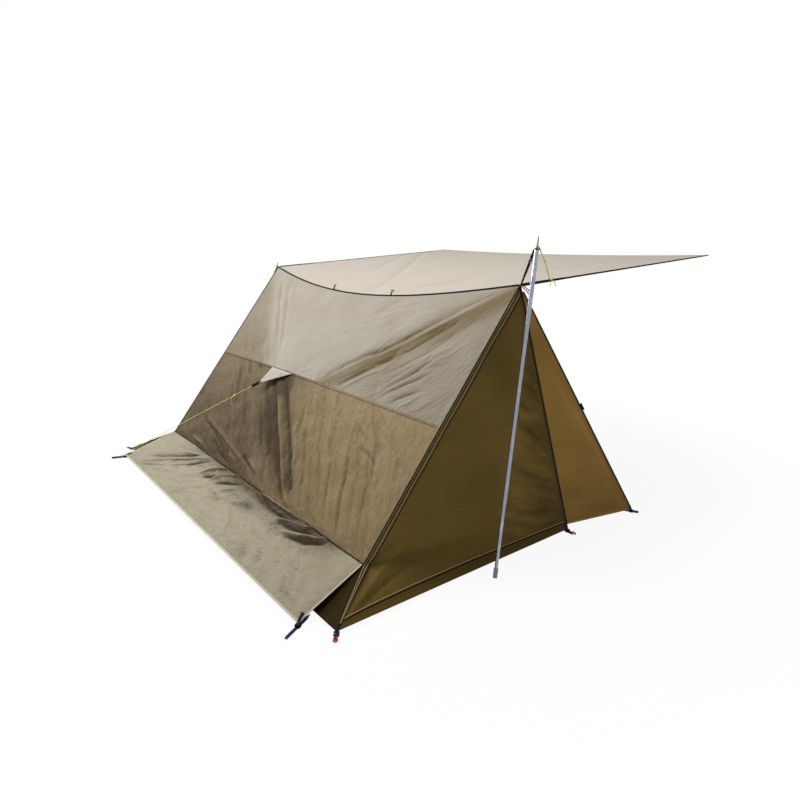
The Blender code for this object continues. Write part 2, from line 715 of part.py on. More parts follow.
def make_tieout(up_wall, peg_point):
    """Gusset on the rear seam, its webbing loop, the guy line, its runner and tail."""
    seam_corner = rear_edge(WALL_SEAM_HEIGHT)
    lift = WALL_OUT * (TIEOUT_PULL + CLOTH / 2 + TAPE_CLEARANCE + TAPE + 2 * SEAM_GAP)
    base = Vector(((TIEOUT_LEFT + TIEOUT_RIGHT) / 2, seam_corner.y, seam_corner.z)) + lift
    peg_top = LOOP_WALL + PEG_CLEARANCE + PEG_FIN * 1.5 + PEG_WALL / 2 * math.cos(math.radians(30))
    end = Vector((peg_point.x, peg_point.y, peg_top + CORD_RADIUS + SEAM_GAP))
    pull = (end - base).normalized()
    apex = base + pull * TIEOUT_LENGTH
    half_base = (TIEOUT_RIGHT - TIEOUT_LEFT) / 2
    sideways = UP.cross(pull).normalized()

    def gusset(u, v):
        foot = base + Vector(((2 * u - 1) * half_base, 0, 0))
        near_apex = apex + sideways * (2 * u - 1) * STRAP_WIDTH / 4
        return foot.lerp(near_apex, v)

    sheet("tieout_gusset", gusset, 4, 5, "canvas_light", 0.0012)

    loop_start = apex + pull * SEAM_GAP * 2
    loop_end = loop_start + pull * TIEOUT_LOOP

    def loop(u, v):
        return loop_start.lerp(loop_end, v) + sideways * (u - 0.5) * STRAP_WIDTH / 2

    sheet("tieout_loop", loop, 1, 1, "tape_black", TAPE)
    line_start = loop_end + pull * SEAM_GAP
    tube("guy_line", [line_start, end], CORD_RADIUS, "cord_yellow", 2)

    # The cord's own adjusting knot slides on the line, with its loose end below.
    knot = line_start + pull * KNOT_ALONG
    bore = CORD_RADIUS + KNOT_CLEARANCE
    bm = bmesh.new()
    segments = 12
    beside = pull.cross(sideways)
    outline = [(bore, -0.5), (KNOT_RADIUS * 0.7, -0.5), (KNOT_RADIUS, -0.3), (KNOT_RADIUS * 0.8, 0),
               (KNOT_RADIUS, 0.3), (KNOT_RADIUS * 0.7, 0.5), (bore, 0.5)]
    rings = []
    for radius, along in outline:
        rings.append([])
        for step in range(segments):
            angle = 2 * math.pi * step / segments
            spoke = sideways * math.cos(angle) + beside * math.sin(angle)
            rings[-1].append(bm.verts.new(knot + pull * along * KNOT_LENGTH + spoke * radius))
    for ring, following in zip(rings, rings[1:] + rings[:1]):
        for i in range(segments):
            k = (i + 1) % segments
            bm.faces.new((ring[i], ring[k], following[k], following[i]))
    # The loose end grows out of the face of the knot that points most downward.
    bmesh.ops.recalc_face_normals(bm, faces=bm.faces)
    face = min(bm.faces, key=lambda item: (round(item.normal.z, 3), item.calc_center_median().z))
    down = (face.normal * 0.5 - UP * 0.5).normalized()
    for step in range(TAIL_STEPS):
        grown = bmesh.ops.extrude_face_region(bm, geom=[face])["geom"]
        bmesh.ops.delete(bm, geom=[face], context="FACES_ONLY")
        face = next(item for item in grown if isinstance(item, bmesh.types.BMFace))
        centre = face.calc_center_median()
        for vert in face.verts:
            if step == 0:
                spoke = (vert.co - centre).normalized()
                vert.co = centre + (spoke - down * spoke.dot(down)).normalized() * CORD_RADIUS
            vert.co += down * TAIL_LENGTH / TAIL_STEPS
    bmesh.ops.recalc_face_normals(bm, faces=bm.faces)
    add_object("guy_knot", mesh_from("guy_knot", bm), "cord_yellow")


def make_top_guy():
    """Cord wound twice round the right pole's spike, then down to the awning's edge."""
    top = Vector(RIGHT_PIVOT)
    axis = (top - Vector((POLE_FOOT_X, POLE_FOOT_Y, 0))).normalized()
    edge = awning_point(1, 0.115, 0)
    rest = edge + Vector((CORD_RADIUS, 0, PIPING_RADIUS + CORD_RADIUS + SEAM_GAP))
    away = rest - top
    away = (away - axis * away.dot(axis)).normalized()
    beside = axis.cross(away)
    radius = SPIKE_RADIUS + CORD_RADIUS + WIND_CLEARANCE
    points = []
    for step in range(2 * WIND_STEPS + 1):
        angle = 2 * math.pi * (step / WIND_STEPS - 0.25)
        height = WIND_HEIGHT - WIND_PITCH * step / WIND_STEPS
        spoke = away * math.cos(angle) + beside * math.sin(angle)
        points.append(top + axis * height + spoke * radius)
    leave = points[-1]
    for step in range(1, 9):
        share = step / 8
        bulge = away * 0.02 * math.sin(share * math.pi)
        points.append(leave.lerp(rest, share) + bulge)
    tube("top_guy", points, CORD_RADIUS, "cord_yellow")


def build():
    for obj in list(bpy.data.objects):
        bpy.data.objects.remove(obj)
    collection = bpy.data.collections.new("tent")
    bpy.context.scene.collection.children.link(collection)

    up_wall = make_rear_wall()
    make_storm_flap(up_wall)
    for side, name in ((1, "right"), (-1, "left")):
        make_side(side, name)
        make_wing(side, name)
    make_awning()
    make_ridge()
    right_tip = SPIKE_LENGTH - 0.0035 - GROMMET_THICKNESS / 2 - GROMMET_CLEARANCE
    make_pole(1, "right", RIGHT_PIVOT, right_tip)
    make_pole(-1, "left", LEFT_PIVOT, LEFT_TIP_SHOWN)
    make_strap(1, "right", RIGHT_PIVOT)
    make_strap(-1, "left", LEFT_PIVOT)
    make_tieout(up_wall, make_pegs_and_loops())
    make_top_guy()

    for obj in collection.objects:
        obj.location.y -= ORIGIN_FORWARD


build()
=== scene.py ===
# %% [markdown]
# # A lean-to tent, dressed for its photograph
#
# The solids of this tent come from a CAD model and are loaded as the frame. This script
# lays the finished cloth, tapes, cords and metal over them. The real tent is sewn from
# thin coated nylon: it creases where a cord or a peg pulls it, shines softly where it
# faces the sky, and is bound with dark woven tape. The script goes from the camera to
# the cords, then panel by panel through the cloth, and ends with the metal parts.

# %% Load the frame
import json
import math

import bmesh
import bpy
import numpy as np
from mathutils import Matrix, Vector

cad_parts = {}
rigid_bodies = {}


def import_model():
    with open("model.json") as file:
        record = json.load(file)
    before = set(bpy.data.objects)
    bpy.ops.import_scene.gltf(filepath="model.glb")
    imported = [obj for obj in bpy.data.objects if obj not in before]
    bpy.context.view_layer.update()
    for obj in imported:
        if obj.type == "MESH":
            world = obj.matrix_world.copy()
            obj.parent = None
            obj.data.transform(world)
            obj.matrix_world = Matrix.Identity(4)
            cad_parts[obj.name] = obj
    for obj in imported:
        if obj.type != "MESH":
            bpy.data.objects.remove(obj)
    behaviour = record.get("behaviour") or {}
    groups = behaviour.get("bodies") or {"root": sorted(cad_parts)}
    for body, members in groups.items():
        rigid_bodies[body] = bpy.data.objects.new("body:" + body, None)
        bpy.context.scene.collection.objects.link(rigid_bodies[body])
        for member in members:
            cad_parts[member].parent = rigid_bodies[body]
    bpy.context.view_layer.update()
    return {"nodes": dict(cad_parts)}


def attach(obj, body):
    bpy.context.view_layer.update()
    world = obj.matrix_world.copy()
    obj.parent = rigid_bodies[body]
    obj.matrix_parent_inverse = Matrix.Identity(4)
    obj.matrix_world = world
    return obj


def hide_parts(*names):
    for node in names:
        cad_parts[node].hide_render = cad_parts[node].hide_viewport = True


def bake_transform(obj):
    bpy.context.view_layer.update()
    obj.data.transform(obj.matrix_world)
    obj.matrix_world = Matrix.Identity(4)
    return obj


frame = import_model()
nodes = frame["nodes"]

# %% [markdown]
# ## Measures
#
# The cloth is drawn over surfaces that are worked out from a few lengths: the ridge, the
# heights of the seams and the staked corners. They could be read off the CAD meshes
# instead, but a surface from named lengths can be cut as fine as its creases need. All
# lengths are in metres, measured from the ground under the middle of the ridge. The last
# step of every mesh moves it back by FORWARD, into the frame.

# %% Measures of the tent
SIDES = ((1, "right"), (-1, "left"))
# The frame's origin lies this far in front of the ridge.
FORWARD = 0.2175
# The ridge. It sags most a little left of its middle, by the lean.
RIDGE_HALF = 1.25
PEAK_HEIGHT = 1.323
RIDGE_SAG = 0.133
RIDGE_LEAN = 0.28
# Seams of the rear wall: the level one between its panels, and the flap's right end.
WALL_SEAM_HEIGHT = 0.694
FLAP_SEAM = (1.235, -0.923, 0.139)
# Staked corners on the right side.
REAR_PEG = (1.42, -1.185, 0.0179)
FLAP_PEG = (1.278, -1.28, 0.0179)
FRONT_PEG = (1.42, 0.291, 0.0169)
WING_PEG = (1.489, 0.795, 0.0189)
# The awning's front edge.
AWNING_REACH = 1.805
AWNING_HEIGHT = 1.443
AWNING_HALF = 1.264
AWNING_SAG = 0.02
# The tie-out: the ends of its triangle on the wall's seam, and how far it pulls the wall.
TIEOUT = (-0.366, -0.100)
TIEOUT_PULL = 0.045
# The right pole's foot, and the points in the grommets that the poles swing about.
POLE_FOOT = (1.509, -0.369, 0.0)
RIGHT_PIVOT = (1.3136, 0.031, 1.4915)
LEFT_PIVOT = (-1.278, 0.0, 1.328)
# Thicknesses, and the gap between sewn pieces.
CLOTH = 0.001
CORD_RADIUS = 0.0017
BINDING = 0.0056
SEAM_GAP = 0.0006
# Cloth ends inside a binding, this far from its middle line.
UNDER_BINDING = BINDING * 0.93
# A wall's cloth ends this far inside the corner line that its seam covers.
CORNER_INSET = 0.0016


def vec(*values):
    """A point or direction as an array."""
    return np.array(values, float)


def unit(direction):
    return direction / np.linalg.norm(direction, axis=-1, keepdims=True)


def between(start, end, share):
    """Points from start to end, at shares from 0 to 1."""
    share = np.asarray(share, float)[..., None]
    return start + (end - start) * share


def mirrored(points, side):
    """The same points on the right side (1) or the left one (-1)."""
    return points * vec(side, 1, 1)


def smooth(value):
    """A soft step from 0 to 1 as the value goes from 0 to 1."""
    t = np.clip(value, 0, 1)
    return t * t * (3 - 2 * t)


def ridge(across):
    """Points on the sagging ridge, across from -1 to 1."""
    across = np.asarray(across, float)
    sag = RIDGE_SAG * (1 - across ** 2) * (1 - RIDGE_LEAN * across)
    return np.stack([across * RIDGE_HALF, across * 0, PEAK_HEIGHT - sag], -1)


PEAK = vec(RIDGE_HALF, 0, PEAK_HEIGHT)
SEAM_CORNER = vec(*FLAP_SEAM)
UP = vec(0, 0, 1)
# This moves a point into the frame.
in_frame = vec(0, -FORWARD, 0)
WALL_UP = unit(PEAK * vec(0, 1, 1) - SEAM_CORNER * vec(0, 1, 1))
WALL_OUT = vec(0, -WALL_UP[2], WALL_UP[1])


def on_line(start, end, height):
    """Points at given heights on the line from start up to end."""
    start, end = vec(*start), vec(*end)
    return between(start, end, (np.asarray(height, float) - start[2]) / (end[2] - start[2]))


def rear_edge(height):
    """Right rear corner line: from its peg up to the flap's seam, then up to the peak."""
    height = np.asarray(height, float)
    low = on_line(REAR_PEG, FLAP_SEAM, height)
    return np.where((height < FLAP_SEAM[2])[..., None], low, on_line(FLAP_SEAM, PEAK, height))


def front_edge(height):
    """Right side wall's front edge, which the wing turns on."""
    return on_line(FRONT_PEG, PEAK, height)


print("slope of the rear wall:", round(math.degrees(math.asin(WALL_UP[2])), 1), "degrees")

# %% [markdown]
# ## Colours and the helpers for materials
#
# A colour seen in a picture is an sRGB value, while the shader counts light, so one
# function turns a hex colour into linear light. One more function adds a node with its
# settings and links, and a third sets what is the same all over a finish. Every finish
# below is built from these three.

# %% Colour and node helpers
def linear(hex_colour):
    """An sRGB hex colour as linear RGB with alpha."""
    channels = [int(hex_colour[i:i + 2], 16) / 255 for i in (0, 2, 4)]
    return (*(c / 12.92 if c <= 0.04045 else ((c + 0.055) / 1.055) ** 2.4 for c in channels), 1.0)


def add(tree, kind, settings=None, **links):
    """Adds a node. Settings go to its properties, links to its inputs: a socket or a value."""
    node = tree.nodes.new(kind)
    for key, value in (settings or {}).items():
        setattr(node, key, value)
    for key, value in links.items():
        numbered = key[0] == "i" and key[1:].isdigit()
        socket = node.inputs[int(key[1:])] if numbered else node.inputs[key.replace("_", " ")]
        if isinstance(value, bpy.types.NodeSocket):
            tree.links.new(value, socket)
        else:
            socket.default_value = value
    return node


def new_material(name):
    """An empty material with a Principled shader, its tree and its shader."""
    material = bpy.data.materials.new(name)
    material.use_nodes = True
    return material, material.node_tree, material.node_tree.nodes["Principled BSDF"]


def settle(shader, **values):
    """Sets inputs of a shader that are the same all over the finish."""
    for key, value in values.items():
        shader.inputs[key.replace("_", " ")].default_value = value


print("helpers ready, khaki is", [round(c, 3) for c in linear("A79C86")[:3]])

# %% [markdown]
# ## Camera
#
# The photograph was taken from behind the right rear corner, about 1.5 m above the
# ground. Its place and angles come from matching corners of the tent whose places in
# space are known with where they appear in the picture. A lens in millimetres and three
# angles say the same thing as a matrix, and are easier to read.

# %% Camera
LENS = 27.628
CAMERA_PLACE = (3.25715, -2.52374, 1.53028)
YAW, PITCH, ROLL = -0.90615, -0.25453, 0.00343

forward = vec(math.cos(PITCH) * math.sin(YAW), math.cos(PITCH) * math.cos(YAW), math.sin(PITCH))
level = vec(math.cos(YAW), -math.sin(YAW), 0)
overhead = np.cross(level, forward)
right = level * math.cos(ROLL) + overhead * math.sin(ROLL)
above = overhead * math.cos(ROLL) - level * math.sin(ROLL)
camera_data = bpy.data.cameras.new("photo_camera")
camera_data.lens = LENS
camera_data.sensor_width = 36.0
camera = bpy.data.objects.new("photo_camera", camera_data)
camera.matrix_world = Matrix([(*row, place) for row, place in zip(
    np.stack([right, above, -forward], 1), CAMERA_PLACE)] + [(0, 0, 0, 1)])
bpy.context.scene.collection.objects.link(camera)
bpy.context.scene.camera = camera
bpy.context.scene.view_settings.view_transform = "Standard"
print("camera at", CAMERA_PLACE, "lens", LENS)

# %% [markdown]
# ## Floor, sky and lamps
#
# The tent was photographed under a bright overcast sky and then cut out on white. A white
# world lights it from all sides, and two soft lamps add the direction that the sky had:
# one above and behind the tent, and one lower and at its left, which brings out the
# creases that run down the cloth. The lamps are small enough to model a crease and large
# enough to leave no hard shadow. The floor is plain and pale, keeps a faint shadow near
# the tent, and fades to white further out, so that no horizon shows.

# %% Floor, world and lamps
def area_lamp(name, place, target, width, height, power):
    """A soft rectangular lamp at a place, aimed at a target."""
    data = bpy.data.lights.new(name, "AREA")
    data.shape = "RECTANGLE"
    data.size, data.size_y, data.energy = width, height, power
    lamp = bpy.data.objects.new(name, data)
    lamp.location = place
    lamp.rotation_euler = (Vector(target) - Vector(place)).to_track_quat("-Z", "Y").to_euler()
    bpy.context.scene.collection.objects.link(lamp)
    return lamp


def seen_rays(tree):
    """1 for the rays that see a backdrop: straight from the camera, mirrored or refracted."""
    path = add(tree, "ShaderNodeLightPath")
    pair = add(tree, "ShaderNodeMath", {"operation": "MAXIMUM"},
               i0=path.outputs["Is Camera Ray"], i1=path.outputs["Is Glossy Ray"])
    return add(tree, "ShaderNodeMath", {"operation": "MAXIMUM"},
               i0=pair.outputs[0], i1=path.outputs["Is Transmission Ray"]).outputs[0]


WORLD_LIGHT = 0.34
FLOOR_HALF = 40.0
# The shadow on the floor fades out between these distances from the middle of the tent.
FADE_START, FADE_END = 1.5, 3.2
# Near the tent too the floor is mostly plain white, and this is the share of it.
LEAST_WHITE = 0.92

world = bpy.data.worlds.new("overcast")
world.use_nodes = True
bpy.context.scene.world = world
tree = world.node_tree
tree.nodes.clear()
lit = add(tree, "ShaderNodeBackground", Color=(0.97, 0.98, 1.0, 1.0), Strength=WORLD_LIGHT)
seen = add(tree, "ShaderNodeBackground", Color=(1.0, 1.0, 1.0, 1.0), Strength=1.0)
mixed = add(tree, "ShaderNodeMixShader", i0=seen_rays(tree), i1=lit.outputs[0], i2=seen.outputs[0])
add(tree, "ShaderNodeOutputWorld", Surface=mixed.outputs[0])

floor_mesh = bpy.data.meshes.new("floor")
floor_mesh.from_pydata([(x * FLOOR_HALF, y * FLOOR_HALF, 0) for x, y in ((-1, -1), (1, -1), (1, 1), (-1, 1))],
                       [], [(0, 1, 2, 3)])
floor = bpy.data.objects.new("floor", floor_mesh)
bpy.context.scene.collection.objects.link(floor)
paper, tree, shader = new_material("floor_paper")
settle(shader, Base_Color=linear("F4F4F2"), Roughness=0.9, Specular_IOR_Level=0.1)
place = add(tree, "ShaderNodeTexCoord")
distance = add(tree, "ShaderNodeVectorMath", {"operation": "LENGTH"}, i0=place.outputs["Object"])
fade = add(tree, "ShaderNodeMapRange", {"interpolation_type": "SMOOTHSTEP"}, Value=distance.outputs["Value"],
           From_Min=FADE_START, From_Max=FADE_END, To_Min=LEAST_WHITE)
glow = add(tree, "ShaderNodeEmission", Strength=1.0)
seen_fade = add(tree, "ShaderNodeMath", {"operation": "MULTIPLY"}, i0=fade.outputs[0], i1=seen_rays(tree))
both = add(tree, "ShaderNodeMixShader", i0=seen_fade.outputs[0], i1=shader.outputs[0], i2=glow.outputs[0])
tree.links.new(both.outputs[0], tree.nodes["Material Output"].inputs["Surface"])
floor_mesh.materials.append(paper)

area_lamp("sky_above", (-0.4, -0.9, 5.0), (0, -0.2, 0.6), 1.6, 1.6, 175)
area_lamp("sky_left", (-4.6, -2.6, 3.6), (0, -0.5, 0.6), 1.4, 1.4, 170)

# %% [markdown]
# ## The nylon
#
# The panels are plain-woven nylon of about 40 denier with a thin polyurethane coat on
# the inside. The weave is far finer than a pixel, so what the eye gets is a soft satin
# gloss that is broken by hundreds of small creases, and a khaki that pales where the
# cloth faces the sky: that paling is painted into the colour. The threads are drawn 2.5 mm
# apart, ten times their real spacing, because that is the finest that shows close up. The
# small creases are a bump of two sizes, 45 mm and 28 mm, since they are shallower than the
# mesh can hold. The panels were cut from one dye lot but show differently under the light,
# so each gets its own pair of khakis, painted lit and shaded copies of that one cloth: a
# pale one, painted sky sheen, for cloth that is drawn up to the sky, and a dark one,
# painted shade, for facets that lean to the ground. A value on each mesh, its shade, says
# which of them shows where, as painted shade.

# %% Coated nylon
# Sizes of its patterns: the drawn threads, patches of uneven dye and the creases, 45 mm and
# 28 mm.
THREAD = 0.0025
DYE_PATCH = 0.3125
BROAD_CREASE = 1 / 22
SMALL_CREASE = 1 / 36
# A small crease is as wide as this share of its length.
CREASE_SQUEEZE = 0.4
# The refraction of nylon.
NYLON_IOR = 1.53


def wave_scale(spacing):
    """The scale at which a wave texture repeats at a spacing in metres."""
    return math.pi / (10 * spacing)


def coated_nylon(name, pale, dark, roughness=0.5, crease=0.0016, gloss=0.3, run=0.0, worn=0.10):
    """Plain-woven nylon with a coat: khaki in painted shade, crossed threads, small creases at angle run;
    worn paints their crests paler.
    """
    material, tree, shader = new_material(name)
    place = add(tree, "ShaderNodeTexCoord")
    own = add(tree, "ShaderNodeUVMap", {"uv_map": "cloth"})
    shade = add(tree, "ShaderNodeAttribute", {"attribute_name": "shade"})
    patches = add(tree, "ShaderNodeTexNoise", Vector=place.outputs["Object"], Scale=1 / DYE_PATCH, Detail=4.0)
    uneven = add(tree, "ShaderNodeMapRange", Value=patches.outputs["Fac"], From_Min=0.3, From_Max=0.7,
                 To_Min=-0.05, To_Max=0.05)
    share = add(tree, "ShaderNodeMath", {"operation": "ADD"}, i0=shade.outputs["Fac"], i1=uneven.outputs[0])
    scale = wave_scale(THREAD)
    warp = add(tree, "ShaderNodeTexWave", {"bands_direction": "X"}, Vector=own.outputs[0], Scale=scale)
    weft = add(tree, "ShaderNodeTexWave", {"bands_direction": "Y"}, Vector=own.outputs[0], Scale=scale)
    weave = add(tree, "ShaderNodeMath", {"operation": "MULTIPLY"}, i0=warp.outputs["Fac"],
                i1=weft.outputs["Fac"])
    broad = add(tree, "ShaderNodeTexNoise", Vector=place.outputs["Object"], Scale=1 / BROAD_CREASE,
                Detail=3.0, Roughness=0.55, Distortion=0.8)
    # The small creases run one way: the cloth's UV is turned, then squeezed.
    turned = add(tree, "ShaderNodeVectorRotate", {"rotation_type": "Z_AXIS"}, Vector=own.outputs[0],
                 Angle=math.radians(-run))
    squeezed = add(tree, "ShaderNodeMapping", Vector=turned.outputs[0], Scale=(CREASE_SQUEEZE, 1.0, 1.0))
    small = add(tree, "ShaderNodeTexNoise", {"noise_type": "RIDGED_MULTIFRACTAL"},
                Vector=squeezed.outputs[0], Scale=1 / SMALL_CREASE, Detail=3.0, Roughness=0.55,
                Distortion=0.35, Offset=0.9, Gain=1.6)
    # The crests of the small creases are painted paler and the hollows between them darker: painted highlight
    # and shade.
    painted_crest_shade = add(tree, "ShaderNodeMapRange", Value=small.outputs["Fac"], From_Min=0.5, From_Max=1.7,
                 To_Min=-worn, To_Max=worn)
    toned = add(tree, "ShaderNodeMath", {"operation": "ADD"}, i0=share.outputs[0], i1=painted_crest_shade.outputs[0])
    colour = add(tree, "ShaderNodeMix", {"data_type": "RGBA"}, i0=toned.outputs[0],
                 i6=linear(dark), i7=linear(pale))
    tree.links.new(colour.outputs[2], shader.inputs["Base Color"])
    satin = add(tree, "ShaderNodeMapRange", Value=broad.outputs["Fac"], To_Min=roughness - 0.06,
                To_Max=roughness + 0.06)
    tree.links.new(satin.outputs[0], shader.inputs["Roughness"])
    threads = add(tree, "ShaderNodeBump", Strength=0.35, Distance=0.0002, Height=weave.outputs[0])
    creased = add(tree, "ShaderNodeBump", Strength=0.6, Distance=crease, Height=broad.outputs["Fac"],
                  Normal=threads.outputs[0])
    folded = add(tree, "ShaderNodeBump", Strength=0.8, Distance=crease * 0.35, Height=small.outputs["Fac"],
                 Normal=creased.outputs[0])
    tree.links.new(folded.outputs[0], shader.inputs["Normal"])
    settle(shader, IOR=NYLON_IOR, Specular_IOR_Level=gloss)
    return material


# After its name each finish has its pale and its dark khaki, its roughness, the depth of
# its creases in metres and its gloss. The pale khaki is painted sky sheen and the dark one
# painted shade, and the pairs of the panels are painted lit and shaded copies of one cloth.
# Panels also have the way their creases run, in degrees, and how much paler the crest of
# each small crease is painted.
nylon_roof = coated_nylon("coated_nylon_roof", "AAA196", "968D83", 0.62, 0.0016, 0.12, 60, 0.08)
nylon_upper = coated_nylon("coated_nylon_upper_wall", "968E80", "61522F", 0.52, 0.0044, 0.14, 38, 0.06)
nylon_back = coated_nylon("coated_nylon_lower_wall", "8C7858", "3A2E17", 0.55, 0.0060, 0.08, -52, 0.085)
nylon_flap = coated_nylon("coated_nylon_flap", "91886F", "433722", 0.5, 0.0056, 0.16, 20, 0.08)
nylon_side = coated_nylon("coated_nylon_side", "8F753A", "392B0A", 0.55, 0.0026, 0.07, -35, 0.05)
# The wing is painted paler than the side wall: painted light shining through it.
nylon_wing_backlit = coated_nylon("coated_nylon_wing_painted_backlight", "B08A4C", "785A26", 0.6, 0.0014, 0.05, -60, 0.06)
# The hems are painted paler than their panels: painted highlight.
nylon_hem_highlight = coated_nylon("coated_nylon_hem_painted_highlight", "B2A88E", "968B73", 0.5, 0.0010)
nylon_side_hem = coated_nylon("coated_nylon_side_hem", "5A4620", "40300F", 0.6, 0.0006, 0.04)
nylon_corner = coated_nylon("coated_nylon_corner_seam", "8A744A", "6E5A34", 0.6, 0.0006, 0.06)
# Pale lines along the crests of folds: painted highlight.
nylon_crest_highlight = coated_nylon("coated_nylon_painted_crest_highlight", "C4B890", "94865E", 0.55, 0.0006, 0.12)
# The band below the flap, painted dark as the flap's shadow.
nylon_band_shadow = coated_nylon("coated_nylon_ground_band_painted_shadow", "30250F", "1C1407", 0.7, 0.0016, 0.03, -50)
# Dark lines in the hollows of folds: painted shadow.
nylon_fold_shadow = coated_nylon("coated_nylon_painted_fold_shadow", "372B16", "282010", 0.7, 0.0006, 0.03)
print("cloth finishes:", [m.name for m in bpy.data.materials if m.name.startswith("coated")])

# %% [markdown]
# ## Tapes, cords, metal and plastic
#
# The bindings and loops are woven polyester tape, navy black, with ribs that cross it
# about every millimetre. The guy lines are braided polypropylene in a yellow green that
# is easy to see, the pulls are the same braid in red. The poles are drawn aluminium
# tube, anodised blue grey: the anodising keeps the fine lines of drawing, which smear
# the gloss along the tube. The pegs are extruded aluminium, anodised dark blue and
# rubbed at the edges. The feet and toggles are moulded nylon with a fine grain.

# %% Tapes and cords
def woven_tape(name, colour, light, ribs=0.0012):
    """Narrow webbing, ribbed across its length, from its own UV map in metres."""
    material, tree, shader = new_material(name)
    own = add(tree, "ShaderNodeUVMap", {"uv_map": "cloth"})
    rib = add(tree, "ShaderNodeTexWave", {"bands_direction": "Y"}, Vector=own.outputs[0],
              Scale=wave_scale(ribs))
    edge = add(tree, "ShaderNodeTexWave", {"bands_direction": "X"}, Vector=own.outputs[0],
               Scale=wave_scale(2 * ribs))
    cross = add(tree, "ShaderNodeMath", {"operation": "MULTIPLY"}, i0=rib.outputs["Fac"],
                i1=edge.outputs["Fac"])
    tone = add(tree, "ShaderNodeMix", {"data_type": "RGBA"}, i0=cross.outputs[0], i6=linear(colour),
               i7=linear(light))
    tree.links.new(tone.outputs[2], shader.inputs["Base Color"])
    bump = add(tree, "ShaderNodeBump", Strength=0.7, Distance=0.0004, Height=cross.outputs[0])
    tree.links.new(bump.outputs[0], shader.inputs["Normal"])
    settle(shader, Roughness=0.8, Specular_IOR_Level=0.15)
    return material


BRAID_ANGLE = 38


def braided_cord(name, colour, shade, strand=0.0016):
    """Braid: two sets of strands that cross round the cord, from its UV map in metres."""
    material, tree, shader = new_material(name)
    own = add(tree, "ShaderNodeUVMap", {"uv_map": "cloth"})
    turned = add(tree, "ShaderNodeMapping", Vector=own.outputs[0], Rotation=(0, 0, math.radians(BRAID_ANGLE)))
    back = add(tree, "ShaderNodeMapping", Vector=own.outputs[0], Rotation=(0, 0, math.radians(-BRAID_ANGLE)))
    scale = wave_scale(strand)
    one = add(tree, "ShaderNodeTexWave", {"bands_direction": "Y"}, Vector=turned.outputs[0], Scale=scale)
    two = add(tree, "ShaderNodeTexWave", {"bands_direction": "Y"}, Vector=back.outputs[0], Scale=scale)
    over = add(tree, "ShaderNodeMath", {"operation": "MAXIMUM"}, i0=one.outputs["Fac"], i1=two.outputs["Fac"])
    tone = add(tree, "ShaderNodeMix", {"data_type": "RGBA"}, i0=over.outputs[0], i6=linear(shade),
               i7=linear(colour))
    tree.links.new(tone.outputs[2], shader.inputs["Base Color"])
    bump = add(tree, "ShaderNodeBump", Strength=0.8, Distance=0.0003, Height=over.outputs[0])
    tree.links.new(bump.outputs[0], shader.inputs["Normal"])
    settle(shader, Roughness=0.7, Specular_IOR_Level=0.25)
    return material


tape_dark = woven_tape("woven_polyester_tape", "0B0C12", "1C1E28")
tape_thread = woven_tape("sewing_thread_dark", "2A261C", "3A3424")
cord_yellow = braided_cord("braided_polypropylene_yellow", "EAF284", "C9D356")
cord_red = braided_cord("braided_polypropylene_red", "DA2F42", "9A1526")
print("tape and cord finishes:", tape_dark.name, cord_yellow.name, cord_red.name)

# %% Metal and plastic
# Sizes of their patterns: drawing lines of 2.4 mm, rubbed patches of 71 mm, the grain of a
# mould and patches of dust of 17 mm.
DRAWN_LINE = 1 / 420
RUBBED_PATCH = 1 / 14
MOULD_GRAIN = 0.000625
DUST_PATCH = 1 / 60
# The drawing lines are 40 times as long as they are wide.
LINE_SQUEEZE = 0.025


def metal(name, colour, worn, roughness):
    """Anodised or turned metal: fine lines in its gloss, and paler rubbed patches."""
    material, tree, shader = new_material(name)
    place = add(tree, "ShaderNodeTexCoord")
    # The lines run along the tube, which stands nearly upright.
    long = add(tree, "ShaderNodeMapping", Vector=place.outputs["Object"], Scale=(1.0, 1.0, LINE_SQUEEZE))
    lines = add(tree, "ShaderNodeTexNoise", Vector=long.outputs[0], Scale=1 / DRAWN_LINE, Detail=2.0)
    rubbed = add(tree, "ShaderNodeTexNoise", Vector=place.outputs["Object"], Scale=1 / RUBBED_PATCH,
                 Detail=5.0, Roughness=0.62)
    share = add(tree, "ShaderNodeMapRange", Value=rubbed.outputs["Fac"], From_Min=0.52, From_Max=0.78)
    tone = add(tree, "ShaderNodeMix", {"data_type": "RGBA"}, i0=share.outputs[0], i6=linear(colour),
               i7=linear(worn))
    tree.links.new(tone.outputs[2], shader.inputs["Base Color"])
    gloss = add(tree, "ShaderNodeMapRange", Value=lines.outputs["Fac"], To_Min=roughness - 0.08,
                To_Max=roughness + 0.08)
    tree.links.new(gloss.outputs[0], shader.inputs["Roughness"])
    bump = add(tree, "ShaderNodeBump", Strength=0.25, Distance=0.00004, Height=lines.outputs["Fac"])
    tree.links.new(bump.outputs[0], shader.inputs["Normal"])
    settle(shader, Metallic=1.0)
    return material


def moulded(name, colour, roughness, dusty):
    """Injection-moulded nylon with the fine grain of its mould and patches of dust."""
    material, tree, shader = new_material(name)
    place = add(tree, "ShaderNodeTexCoord")
    grain = add(tree, "ShaderNodeTexNoise", Vector=place.outputs["Object"], Scale=1 / MOULD_GRAIN, Detail=2.0)
    bump = add(tree, "ShaderNodeBump", Strength=0.3, Distance=0.0001, Height=grain.outputs["Fac"])
    tree.links.new(bump.outputs[0], shader.inputs["Normal"])
    dust = add(tree, "ShaderNodeTexNoise", Vector=place.outputs["Object"], Scale=1 / DUST_PATCH, Detail=3.0)
    tone = add(tree, "ShaderNodeMix", {"data_type": "RGBA"}, i0=dust.outputs["Fac"], i6=linear(colour),
               i7=linear(dusty))
    tree.links.new(tone.outputs[2], shader.inputs["Base Color"])
    settle(shader, Roughness=roughness, IOR=NYLON_IOR)
    return material


